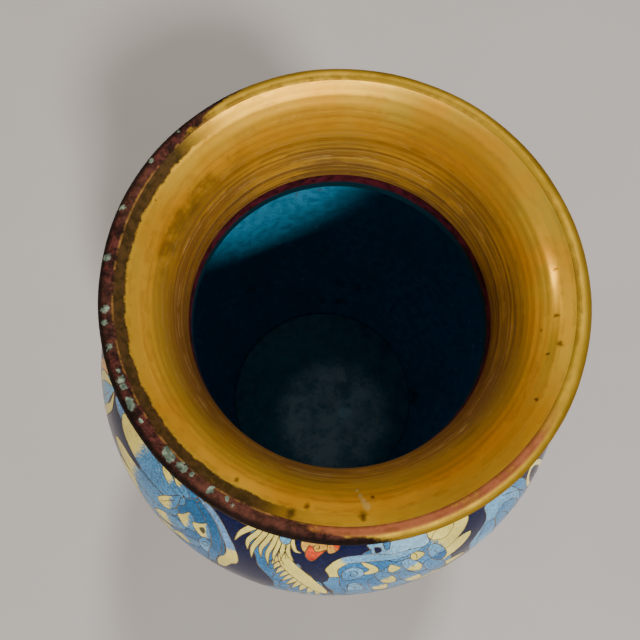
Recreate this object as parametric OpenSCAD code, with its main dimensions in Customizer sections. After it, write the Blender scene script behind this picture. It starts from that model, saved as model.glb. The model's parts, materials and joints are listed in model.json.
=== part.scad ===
// Cloisonne vase. A copper body made of lapped spun shells carries a gilt trumpet neck, a gilt lip
// bead and a soldered foot. Coloured enamel lies between thin gilt wires over the whole outside,
// and plain turquoise enamel lines the inside. Origin at the middle of the foot, +Z up.

/* [Body] */
// Height of the whole vase
vase_h = 254; // [252:1:258]
// Widest diameter, over the enamel
belly_d = 182; // [178:1:186]
// Height of the widest point
belly_z = 147; // [144:1:150]
// Rise of the oval that the upper half of the body follows
upper_h = 87.5; // [86:0.5:89]
// Drop of the oval that the lower half of the body follows
lower_h = 172.5; // [170:0.5:176]
// Height at which the body meets the foot
foot_top = 12; // [11:0.5:13]
// Height at which the shoulder starts to turn in
shoulder_z = 203; // [202:0.5:204]

/* [Neck and lip] */
// Diameter over the lip bead
lip_d = 128; // [126:1:130]
// Diameter of the lip bead's own section
bead_d = 5.5; // [5.2:0.1:5.8]
// Clear diameter of the throat
throat_d = 91.6; // [91:0.1:92]
// Length of the throat's straight wall
throat_len = 9; // [8:0.5:10]
// Height of the joint between the neck and the body
neck_joint_z = 223.5; // [223:0.5:224]

/* [Layers] */
// Thickness of the enamel outside
enamel_t = 1; // [0.8:0.1:1.1]
// Thickness of the copper shells
copper_t = 1.1; // [1:0.1:1.2]
// Thickness of the enamel inside
lining_t = 0.6; // [0.5:0.1:0.8]
// Width of the thin wires that fence the colours
wire_w = 0.45; // [0.35:0.05:0.6]

/* [Foot] */
// Height of the recess under the base
recess_h = 8; // [7:0.5:9]
// Thickness of the base plate
plate_t = 1.2; // [1:0.1:1.5]
// Largest radius of the foot
foot_r = 58.6; // [58.2:0.1:59.5]

/* [Borders] */
// Number of panels round the foot border
foot_panels = 20; // [16:1:22]
// Number of panels round the neck border
neck_panels = 14; // [12:1:16]

/* [Hidden] */
belly_r = belly_d / 2;
throat_r = throat_d / 2;
neck_r = throat_r + enamel_t + 2 * copper_t;
bead_r = bead_d / 2;
bead_centre = [lip_d / 2 - bead_r, vase_h - bead_r];
// From the bead's centre back to the funnel's top edge inside the bead, and to the flare's end
funnel_inset = [1.48, -1.89];
funnel_top = bead_centre - funnel_inset;
flare_inset = [0.7, 4.05];
flare_end = bead_centre - flare_inset;
// Tongue of the neck that the bead is rolled over
tongue_drop = 3.4;
tongue_w = 1.5;
tongue_end = [bead_centre[0], vase_h - tongue_drop];
// Shoulder, fillet and flare: rises and heights of their control points
knee_rise = 6.5;
fillet_out = 4.5;
fillet_z = 213.6;
fillet_rise = 4.2;
flare_knee_z = 238;
funnel_knee_z = 242.2;
// Stations where the shells lap, where the neck's back starts, and where the lining ends
seam_lap = 1.08;
collar_seam = 3.99;
neck_seat = 4.12;
lining_end = 3.3;
last_station = 4.995;
round_fn = 144;
bead_fn = 48;
curve_steps = 8;
field_lo = 34;
ring_wire = 0.9;
eps = 0.01;
// Room past the widest place for the tools that cut the enamel
tool_room = 2;
// Foot: ledge inside, top edge, waist, largest radius and the ring that it stands on
recess_inset = 2.9;
foot_edge = [0.8, 0.5];
foot_waist = [0.5, 9.6];
foot_round = [[0.6, 4.6], [0, 3.4], [0, 1.2]];
foot_land = [1, 5];
foot_chamfer = [1.2, 1.4];

// Radius of the oval body at a height
function body_r(z) =
    belly_r * sqrt(1 - pow((z - belly_z) / (z > belly_z ? upper_h : lower_h), 2));

// A point on a curve with three control points
function bend(p, t) = (1 - t) * (1 - t) * p[0] + 2 * t * (1 - t) * p[1] + t * t * p[2];

// Shoulder, fillet and flare of the outside, each tangent to the one before
shoulder_slope = (body_r(shoulder_z + eps) - body_r(shoulder_z - eps)) / (2 * eps);
shoulder_start = [body_r(shoulder_z), shoulder_z];
shoulder_knee = shoulder_start + knee_rise * [shoulder_slope, 1];
shoulder_end = [neck_r + fillet_out, fillet_z];
fillet_run = shoulder_end - shoulder_knee;
fillet_knee = shoulder_end + fillet_run * (shoulder_end[0] - neck_r) / -fillet_run[0];
neck_start = [neck_r, fillet_knee[1] + fillet_rise];
shoulder = [shoulder_start, shoulder_knee, shoulder_end];
fillet = [shoulder_end, fillet_knee, neck_start];
flare = [neck_start, [neck_r, flare_knee_z], flare_end];
funnel = [[throat_r, neck_joint_z], [throat_r, funnel_knee_z], funnel_top];

// Outside of the vase by station: 0 foot, 1 belly, 2 shoulder, 3 fillet, 4 neck, 5 under the lip
function glaze(s) =
    s < 1 ? let (z = foot_top + s * (belly_z - foot_top)) [body_r(z), z] :
    s < 2 ? let (z = belly_z + (s - 1) * (shoulder_z - belly_z)) [body_r(z), z] :
    s < 3 ? bend(shoulder, s - 2) :
    s < 4 ? bend(fillet, s - 3) :
    bend(flare, s - 4);

// The point at a depth below the outside, measured square to it
function skin(s, depth) =
    let (d = glaze(s + eps) - glaze(s - eps))
    glaze(s) + depth * [-d[1], d[0]] / norm(d);

// Skin points between two stations, in either direction
function skins(s0, s1, depth) =
    let (n = max(1, ceil(abs(s1 - s0) * curve_steps)))
    [for (i = [0:n]) skin(s0 + (s1 - s0) * i / n, depth)];

// Station of a height on the lower half of the body
function low_station(z) = (z - foot_top) / (belly_z - foot_top);

// The stations that bound each enamelled zone, with a ring wire between neighbours
foot_zone = [low_station(foot_top + ring_wire), low_station(field_lo)];
field_zone = [low_station(field_lo + ring_wire), 2.96];
collar_zone = [3.08, 4.22];
neck_zone = [4.26, 4.96];

copper_out = enamel_t;
copper_in = enamel_t + copper_t;
lining_in = copper_in + lining_t;
seat_r = skin(0, copper_out)[0];
skirt_r = seat_r - copper_t;
recess_r = skirt_r - recess_inset;
plate_top = recess_h + plate_t;
floor_t = 1.2;

gilt = "#c9982f";
copper = "#8c4a32";
navy = "#171f45";
teal = "#1b7d92";
sky = "#69a9cc";
azure = "#3d7aa5";
straw = "#dccf80";
amber = "#dba13f";
coral = "#d4573a";
leaf_green = "#3f8f6b";

// A turned ring of wall between two stations and two depths
module zone(s, from, to) {
    rotate_extrude($fn = round_fn)
        polygon(concat(skins(s[0], s[1], from), skins(s[1], s[0], to)));
}

// The enamel thickness over one zone, where grounds, colours and wires share the space
module enamel_zone(s) {
    zone(s, 0, copper_out);
}

// Closed smooth outline through a few points, with n steps from each to the next
function smooth(p, n = 3) =
    let (k = len(p))
    [for (i = [0:k - 1], j = [0:n - 1])
        let (t = j / n, a = p[(i + k - 1) % k], b = p[i], c = p[(i + 1) % k], d = p[(i + 2) % k])
        b + t * ((c - a) / 2 + t * (a - 2.5 * b + 2 * c - d / 2
            + t * (1.5 * b - a / 2 - 1.5 * c + d / 2)))];

// Twice the signed area of a flat outline
function turning(p) =
    let (k = len(p))
    [for (i = [0:k - 1]) 1] * [for (i = [0:k - 1]) cross(p[i], p[(i + 1) % k])];

// A flat outline moved out by a width
function grown(p, w) =
    let (k = len(p), side = sign(turning(p)))
    [for (i = [0:k - 1])
        let (d = p[(i + 1) % k] - p[(i + k - 1) % k])
        p[i] + side * w * [d[1], -d[0]] / norm(d)];

// An outline of [degrees round, height] points, flattened as seen from straight in front of it
function flattened(p, at) = [for (q = p) [body_r(q[1]) * sin(q[0] - at), q[1]]];

// Middle of an outline, in degrees round
function middle(p) = (min([for (q = p) q[0]]) + max([for (q = p) q[0]])) / 2;

// The space behind an outline, from the axis out past the enamel, grown by a width
module cell(outline, w = 0, longer = 0) {
    at = middle(outline);
    flat = flattened(smooth(outline), at);
    rotate([0, 0, at])
        rotate([90, 0, 0])
            translate([0, 0, -longer])
                linear_extrude(belly_r + tool_room + 2 * longer)
                    polygon(w > 0 ? grown(flat, w) : flat);
}

// Coloured enamel inside outlines
module inlay(outlines) {
    for (outline = outlines)
        intersection() {
            enamel_zone(field_zone);
            cell(outline);
        }
}

// The wire fence round outlines
module fence(outlines) {
    for (outline = outlines)
        difference() {
            intersection() {
                enamel_zone(field_zone);
                cell(outline, wire_w);
            }
            cell(outline, 0, 1);
        }
}

// Outlines of the phoenix, in [degrees round, height]
left_wing_line = [
    [-23, 170], [-20.5, 177], [-18.4, 185], [-19.5, 192], [-22.5, 198], [-27, 202.5], [-34, 205],
    [-43, 204.5], [-52, 201], [-63, 194.5], [-55, 189], [-60, 182.5], [-52, 178], [-54, 170],
    [-46, 163], [-32, 161]];
right_wing_line = [
    [7, 169], [4.6, 177], [3.4, 185], [4.2, 190], [3, 194.5], [5.5, 199.5], [12, 203.5], [22, 206],
    [31, 204], [39, 200], [38, 193], [34, 191], [34.2, 188.8], [38, 187], [35.5, 180],
    [36, 174], [31, 167], [20, 163]];
neck_line = [
    [3.2, 172.5], [1.8, 180], [-0.6, 186.5], [-4, 192], [-7, 197.5], [-6.4, 203], [-7, 209],
    [-12, 210], [-17.5, 205], [-19, 199], [-15.3, 194], [-13, 187], [-10, 179], [-7, 172]];
head_line = [
    [-4.6, 204], [-1, 203.4], [3, 203.2], [5.8, 205], [9.5, 206], [6, 207.8], [2.5, 210.4],
    [-2.5, 210.4], [-4.8, 207.4]];
wattle_line = [[-2.8, 201], [-1.2, 197.4], [1.2, 199], [2.2, 201], [-0.4, 201.4]];
body_line = [
    [-5, 168], [3, 168], [8, 164.5], [17, 159], [26, 157], [31, 151], [30, 140], [22, 130],
    [8, 126], [-5, 133], [-12, 147], [-11, 161]];
tail_lines = [
    [[33, 146], [41, 154], [43.5, 168], [43.5, 184], [46, 195], [52, 196], [57, 188], [56.5, 170],
        [53, 153], [44, 138], [34, 133]],
    [[58.6, 172], [58.6, 184], [61.5, 188.6], [65, 184], [66.5, 170], [64, 150], [55, 131],
        [40, 119], [26, 118], [27, 125], [39, 128], [50, 140], [57, 156]],
    [[-14.5, 146], [-30, 151], [-48, 153], [-60, 160], [-66, 174], [-69, 189], [-74, 191.5],
        [-79, 184], [-79, 168], [-74, 152], [-62, 140], [-42, 133], [-24, 130], [-13, 134]],
    [[12, 122.5], [18, 108], [16, 92], [6, 80], [-10, 73], [-26, 71], [-34, 77], [-28, 84],
        [-12, 87], [1, 95], [5, 107], [0, 121]]];
phoenix_lines = concat(
    [left_wing_line, right_wing_line, neck_line, head_line, wattle_line, body_line], tail_lines);

// Outline of a peony about a place on the body, with a given radius
petals = 7;
petal_dip = 0.84;
function peony_line(at, z, r) =
    [for (i = [0:2 * petals - 1])
        let (angle = i * 180 / petals, reach = r * (i % 2 == 0 ? 1 : petal_dip))
        [at + reach * cos(angle) / (body_r(z) * PI / 180), z + reach * sin(angle)]];

// Outline of a leaf that starts at a place and points along an angle
leaf_shape = [[0, 0], [0.3, -0.8], [0.65, -0.85], [1, 0], [0.65, 0.85], [0.3, 0.8]];
leaf_breadth = 0.26;
function leaf_line(at, z, aim, reach) =
    let (across = leaf_breadth * reach, per_degree = body_r(z) * PI / 180)
    [for (p = leaf_shape)
        let (u = p[0] * reach, v = p[1] * across)
        [at + (u * cos(aim) - v * sin(aim)) / per_degree, z + u * sin(aim) + v * cos(aim)]];

peony_spots = [[85, 172, 14.5], [80, 108, 17], [-52, 104, 15], [40, 76, 16]];
peony_lines = [for (p = peony_spots) peony_line(p[0], p[1], p[2])];
leaf_aims = [-140, -90, -40];
leaf_gap = 2.5;
leaf_reach = 13;
leaf_lines = [for (p = peony_spots, aim = leaf_aims)
    leaf_line(p[0] + (p[2] + leaf_gap) * cos(aim) / (body_r(p[1]) * PI / 180),
        p[1] + (p[2] + leaf_gap) * sin(aim), aim, leaf_reach)];
sides = [0, 180];
side_lines = concat(phoenix_lines, peony_lines, leaf_lines);

// Outline of one border panel: straight sides and a pointed end, by shares of width and rise
panel_shape = [[-1, 0], [1, 0], [1, 0.55], [0.35, 0.86], [0, 1], [-0.35, 0.86], [-1, 0.55]];
panel_steps = 2;
function panel_outline(span, width) =
    smooth([for (p = panel_shape) [p[0] * width / 2, span[0] + p[1] * (span[1] - span[0])]],
        panel_steps);

// The space behind one border panel, grown by a width
module panel(span, width, w = 0, longer = 0) {
    outline = panel_outline(span, width);
    rotate([90, 0, 0])
        translate([0, 0, -longer])
            linear_extrude(belly_r + 2 * longer)
                polygon(w > 0 ? grown(outline, w) : outline);
}

// Turns the children to each place of a border
module round_border(count) {
    for (i = [0:count - 1])
        rotate(i * 360 / count)
            children();
}

// Ground, coloured panels and wires of a border
module border_ground(s, count, span, width) {
    difference() {
        enamel_zone(s);
        round_border(count) panel(span, width, wire_w);
    }
}
module border_panels(s, count, span, width) {
    round_border(count)
        intersection() {
            enamel_zone(s);
            panel(span, width);
        }
}
module border_wires(s, count, span, width) {
    round_border(count)
        difference() {
            intersection() {
                enamel_zone(s);
                panel(span, width, wire_w);
            }
            panel(span, width, 0, 1);
        }
}

foot_panel_w = 12.5;
foot_panel = [17.5, 30.5];
neck_panel_w = 13;
neck_panel = [244.5, 229];

// Gilt bead rolled round the mouth, seated on the neck's edge
module lip_ring() {
    color(gilt)
        difference() {
            rotate_extrude($fn = round_fn)
                translate(bead_centre)
                    circle(d = bead_d, $fn = bead_fn);
            neck_blank();
        }
}

// The neck's turned shape: throat wall, funnel inside, flare outside and a tongue for the bead
module neck_blank() {
    rotate_extrude($fn = round_fn)
        polygon(concat(
            [[throat_r, neck_joint_z - throat_len]],
            [for (i = [0:curve_steps]) bend(funnel, i / curve_steps)],
            [tongue_end - [tongue_w, 0], tongue_end],
            skins(5 - eps, neck_seat, copper_out),
            [[neck_r - copper_out, neck_joint_z],
                [neck_r - copper_in, neck_joint_z],
                [neck_r - copper_in, neck_joint_z - throat_len]]));
}

module neck_shell() {
    color(gilt) neck_blank();
}

// Upper copper shell, from the belly seam up to the collar round the throat
module shoulder_shell() {
    color(copper)
        rotate_extrude($fn = round_fn)
            polygon(concat(
                skins(seam_lap, collar_seam, copper_out),
                [[neck_r - copper_out, neck_joint_z], [neck_r - copper_in, neck_joint_z]],
                skins(collar_seam, 1, copper_in),
                skins(1, seam_lap, (copper_out + copper_in) / 2)));
}

// Lower copper shell, from the belly seam down to the skirt that stands in the foot
module lower_shell() {
    color(copper)
        rotate_extrude($fn = round_fn)
            polygon(concat(
                skins(0, seam_lap, copper_out),
                skins(seam_lap, 1, (copper_out + copper_in) / 2),
                skins(1, 0, copper_in),
                [[skirt_r, foot_top], [skirt_r, recess_h], [seat_r, recess_h]]));
}

// Disc that closes the body, resting on the foot's ledge
module base_plate() {
    color(copper)
        translate([0, 0, recess_h])
            cylinder(r = skirt_r, h = plate_t, $fn = round_fn);
}

// Turned foot with a ledge for the skirt and the base plate
module foot_ring() {
    top = skin(0, 0);
    color(gilt)
        rotate_extrude($fn = round_fn)
            polygon([
                [seat_r, recess_h], skin(0, copper_out), top,
                [top[0] + foot_edge[0], top[1] - foot_edge[1]],
                [top[0] + foot_waist[0], foot_waist[1]],
                for (p = foot_round) [foot_r - p[0], p[1]],
                for (inset = foot_land) [foot_r - inset, 0],
                [recess_r + foot_chamfer[0], foot_chamfer[1]], [recess_r, recess_h]]);
}

// Ring wires that part the zones
module ring_at(s0, s1) {
    color(gilt) enamel_zone([s0, s1]);
}
module foot_wire() ring_at(eps / 4, foot_zone[0]);
module field_wire() ring_at(foot_zone[1], field_zone[0]);
module shoulder_wire() ring_at(field_zone[1], collar_zone[0]);
module neck_wire() ring_at(collar_zone[1], neck_zone[0]);
module lip_wire() ring_at(neck_zone[1], last_station);

// Enamel of the neck: ground, hanging panels and their wires
module neck_enamel() {
    color(navy) border_ground(neck_zone, neck_panels, neck_panel, neck_panel_w);
}
module neck_panel_enamel() {
    color(teal) border_panels(neck_zone, neck_panels, neck_panel, neck_panel_w);
}
module neck_panel_wires() {
    color(gilt) border_wires(neck_zone, neck_panels, neck_panel, neck_panel_w);
}

// Plain red collar between the shoulder wire and the neck wire
module collar_enamel() {
    color(coral) enamel_zone(collar_zone);
}

// Enamel of the foot border: ground, upright panels and their wires
module foot_enamel() {
    color(navy) border_ground(foot_zone, foot_panels, foot_panel, foot_panel_w);
}
module foot_panel_enamel() {
    color(sky) border_panels(foot_zone, foot_panels, foot_panel, foot_panel_w);
}
module foot_panel_wires() {
    color(gilt) border_wires(foot_zone, foot_panels, foot_panel, foot_panel_w);
}

// Dark ground of the body, pocketed for every coloured cell and its wire
module field_enamel() {
    color(navy)
        difference() {
            enamel_zone(field_zone);
            for (side = sides)
                rotate(side)
                    for (outline = side_lines)
                        cell(outline, wire_w);
        }
}

// Enamel inside the vase and under it
module lining_enamel() {
    color(teal)
        rotate_extrude($fn = round_fn)
            polygon(concat(
                [[skirt_r, plate_top], [skirt_r, foot_top]],
                skins(0, lining_end, copper_in),
                skins(lining_end, 0, lining_in),
                [[skirt_r - lining_t, foot_top], [skirt_r - lining_t, plate_top]]));
}
module floor_enamel() {
    color(teal)
        translate([0, 0, plate_top])
            cylinder(r = skirt_r - lining_t, h = floor_t, $fn = round_fn);
}
module base_enamel() {
    color(teal)
        translate([0, 0, recess_h - lining_t])
            cylinder(r = recess_r, h = lining_t, $fn = round_fn);
}

// One phoenix part, on the front or turned to the back
module phoenix_part(outlines, paint, side) {
    color(paint)
        rotate(side)
            inlay(outlines);
}
module left_wing(side) phoenix_part([left_wing_line], azure, side);
module right_wing(side) phoenix_part([right_wing_line], sky, side);
module bird_neck(side) phoenix_part([neck_line], straw, side);
module bird_head(side) phoenix_part([head_line], amber, side);
module wattle(side) phoenix_part([wattle_line], coral, side);
module bird_body(side) phoenix_part([body_line], sky, side);
module tail_plumes(side) phoenix_part(tail_lines, azure, side);
module phoenix_wires(side) {
    color(gilt)
        rotate(side)
            fence(phoenix_lines);
}

// Peonies and leaves, on both sides
module peonies() {
    color(coral)
        for (side = sides)
            rotate(side)
                inlay(peony_lines);
}
module leaves() {
    color(leaf_green)
        for (side = sides)
            rotate(side)
                inlay(leaf_lines);
}
module flower_wires() {
    color(gilt)
        for (side = sides)
            rotate(side)
                fence(concat(peony_lines, leaf_lines));
}

lip_ring();
neck_shell();
shoulder_shell();
lower_shell();
base_plate();
foot_ring();
foot_wire();
field_wire();
shoulder_wire();
neck_wire();
lip_wire();
neck_enamel();
neck_panel_enamel();
neck_panel_wires();
collar_enamel();
foot_enamel();
foot_panel_enamel();
foot_panel_wires();
field_enamel();
lining_enamel();
floor_enamel();
base_enamel();
left_wing(0);  // front_left_wing
right_wing(0);  // front_right_wing
bird_neck(0);  // front_bird_neck
bird_head(0);  // front_bird_head
wattle(0);  // front_wattle
bird_body(0);  // front_bird_body
tail_plumes(0);  // front_tail_plumes
phoenix_wires(0);  // front_phoenix_wires
left_wing(180);  // back_left_wing
right_wing(180);  // back_right_wing
bird_neck(180);  // back_bird_neck
bird_head(180);  // back_bird_head
wattle(180);  // back_wattle
bird_body(180);  // back_bird_body
tail_plumes(180);  // back_tail_plumes
phoenix_wires(180);  // back_phoenix_wires
peonies();
leaves();
flower_wires();
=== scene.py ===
"""Looks of a cloisonne vase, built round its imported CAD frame. Lengths in the helpers are
millimetres, and places on the vase are (degrees round, height): 0 degrees faces -Y, 90 faces +X."""

import json
import math
from bisect import bisect_left

import bpy
from mathutils import Matrix, Vector
from mathutils.geometry import delaunay_2d_cdt


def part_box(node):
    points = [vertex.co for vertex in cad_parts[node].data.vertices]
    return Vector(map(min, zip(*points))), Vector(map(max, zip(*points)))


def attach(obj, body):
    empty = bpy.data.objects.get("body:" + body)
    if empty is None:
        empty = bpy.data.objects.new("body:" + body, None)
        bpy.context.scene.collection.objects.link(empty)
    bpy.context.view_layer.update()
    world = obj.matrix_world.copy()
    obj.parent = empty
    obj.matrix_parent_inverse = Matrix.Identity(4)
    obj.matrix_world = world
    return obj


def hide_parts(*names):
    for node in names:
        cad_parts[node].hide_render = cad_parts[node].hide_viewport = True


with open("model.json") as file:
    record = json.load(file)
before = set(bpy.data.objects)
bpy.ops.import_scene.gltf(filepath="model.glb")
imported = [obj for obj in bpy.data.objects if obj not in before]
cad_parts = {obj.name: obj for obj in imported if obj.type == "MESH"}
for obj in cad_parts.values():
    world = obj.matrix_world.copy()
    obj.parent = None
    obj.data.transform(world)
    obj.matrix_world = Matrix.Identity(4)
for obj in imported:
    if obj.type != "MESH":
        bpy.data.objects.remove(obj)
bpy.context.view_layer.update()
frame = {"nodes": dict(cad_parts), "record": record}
MM = 0.001
TURN = 360

# ---------------------------------------------------------------- sizes, read from the frame


def span(node):
    """(lowest, highest) corner of a CAD node, in millimetres."""
    low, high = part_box(node)
    return Vector(low) / MM, Vector(high) / MM


mounts = {m["name"]: m for m in frame["record"]["mounts"]}
HEIGHT = span("lip_ring")[1].z
LIP_R = span("lip_ring")[1].x
BEAD_R = (HEIGHT - span("lip_ring")[0].z) / 2
THROAT_R = mounts["throat"]["dims"]["r_mm"]
THROAT_LOW = span("neck_shell")[0].z
THROAT_HIGH = THROAT_LOW + mounts["throat"]["dims"]["length_mm"]
BELLY_R = span("field_enamel")[1].x
FOOT_R = span("foot_ring")[1].x
FLOOR_TOP = span("floor_enamel")[1].z
FLOOR_R = span("floor_enamel")[1].x
RECESS_R = span("base_enamel")[1].x
RECESS_TOP = span("base_enamel")[0].z
ENAMEL_T = 1.0
COPPER_T = 1.1
LINING_T = 0.6
COPPER_IN = ENAMEL_T + COPPER_T
NECK_R = THROAT_R + ENAMEL_T + 2 * COPPER_T
BELLY_Z = 147.0
UPPER_H = 87.5
LOWER_H = 172.5
FOOT_TOP = 12.0
SHOULDER_Z = 203.0
RING_WIRE = 0.9
FIELD_LO = 34.0
BEAD = Vector((LIP_R - BEAD_R, HEIGHT - BEAD_R))
FUNNEL_TOP = BEAD + BEAD_R * Vector((-0.615, 0.7885))

# ---------------------------------------------------------------- outline of the vase


def body_r(z):
    """Radius of the oval body at a height."""
    tall = UPPER_H if z > BELLY_Z else LOWER_H
    return BELLY_R * math.sqrt(max(0.0, 1 - ((z - BELLY_Z) / tall) ** 2))


def bend(p, t):
    """A point on a curve with three control points."""
    return (1 - t) ** 2 * p[0] + 2 * t * (1 - t) * p[1] + t * t * p[2]


slope = (body_r(SHOULDER_Z + 0.01) - body_r(SHOULDER_Z - 0.01)) / 0.02
shoulder_start = Vector((body_r(SHOULDER_Z), SHOULDER_Z))
shoulder_knee = shoulder_start + 6.5 * Vector((slope, 1))
shoulder_end = Vector((NECK_R + 4.5, 213.6))
run = shoulder_end - shoulder_knee
fillet_knee = shoulder_end + run * (shoulder_end.x - NECK_R) / -run.x
neck_start = Vector((NECK_R, fillet_knee.y + 4.2))
flare_end = Vector((BEAD.x - 0.7, HEIGHT - 6.8))
SHOULDER = (shoulder_start, shoulder_knee, shoulder_end)
FILLET = (shoulder_end, fillet_knee, neck_start)
FLARE = (neck_start, Vector((NECK_R, 238)), flare_end)
FUNNEL = (Vector((THROAT_R, THROAT_HIGH)), Vector((THROAT_R, 242.2)), FUNNEL_TOP)


def glaze(s):
    """Outside of the vase by station: 0 foot, 1 belly, 2 shoulder, 3 fillet, 4 neck, 5 lip."""
    if s < 2:
        low, high = (FOOT_TOP, BELLY_Z) if s < 1 else (BELLY_Z, SHOULDER_Z)
        z = low + (s - int(s)) * (high - low) if s >= 0 else low + s * (high - low)
        return Vector((body_r(z), z))
    if s < 3:
        return bend(SHOULDER, s - 2)
    if s < 4:
        return bend(FILLET, s - 3)
    return bend(FLARE, s - 4)


def skin(s, depth=0.0):
    """The point at a depth below the outside, measured square to it."""
    d = (glaze(s + 0.005) - glaze(s - 0.005)).normalized()
    return glaze(s) + depth * Vector((-d.y, d.x))


STATIONS = [5 * i / 1000 for i in range(1001)]
STATION_Z = [glaze(s).y for s in STATIONS]


def station(z):
    """Station of a height on the outside."""
    i = min(max(bisect_left(STATION_Z, z), 1), len(STATIONS) - 1)
    z0, z1 = STATION_Z[i - 1], STATION_Z[i]
    t = min(max((z - z0) / max(z1 - z0, 1e-9), 0), 1)
    return STATIONS[i - 1] + t * (STATIONS[i] - STATIONS[i - 1])


def place(at, z):
    """A point on the vase's outside, in metres, with its outward normal."""
    s = station(z)
    d = (glaze(s + 0.004) - glaze(s - 0.004)).normalized()
    p = glaze(s)
    a = math.radians(at - 90)
    out = Vector((d.y * math.cos(a), d.y * math.sin(a), -d.x))
    return Vector((p.x * math.cos(a), p.x * math.sin(a), p.y)) * MM, out


# ---------------------------------------------------------------- colours


def paint(hex_code):
    """A colour as linear RGBA."""
    parts = [int(hex_code[i : i + 2], 16) / 255 for i in (0, 2, 4)]
    return tuple(c / 12.92 if c < 0.04045 else ((c + 0.055) / 1.055) ** 2.4 for c in parts) + (1,)


NAVY = paint("10163a")
NAVY_FLECK = paint("29336a")
SKY = paint("70a9ce")
PALE = paint("93c2dc")
STEEL = paint("4a85b2")
AZURE = paint("3172a4")
DEEP = paint("255f8c")
LILAC = paint("6a96c2")
STRAW = paint("ecd970")
CREAM = paint("f0e292")
AMBER = paint("e6a848")
ORANGE = paint("e2853a")
CORAL = paint("de4f2a")
WINE = paint("a52f2a")
ROSE = paint("d97f7a")
BLUSH = paint("ecbcae")
LEAF = paint("3f9470")
MOSS = paint("1f6350")
OLIVE = paint("4a4a30")
TEAL = paint("1d7f93")
WHITE = paint("e4e6de")

# ---------------------------------------------------------------- material helpers


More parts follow.
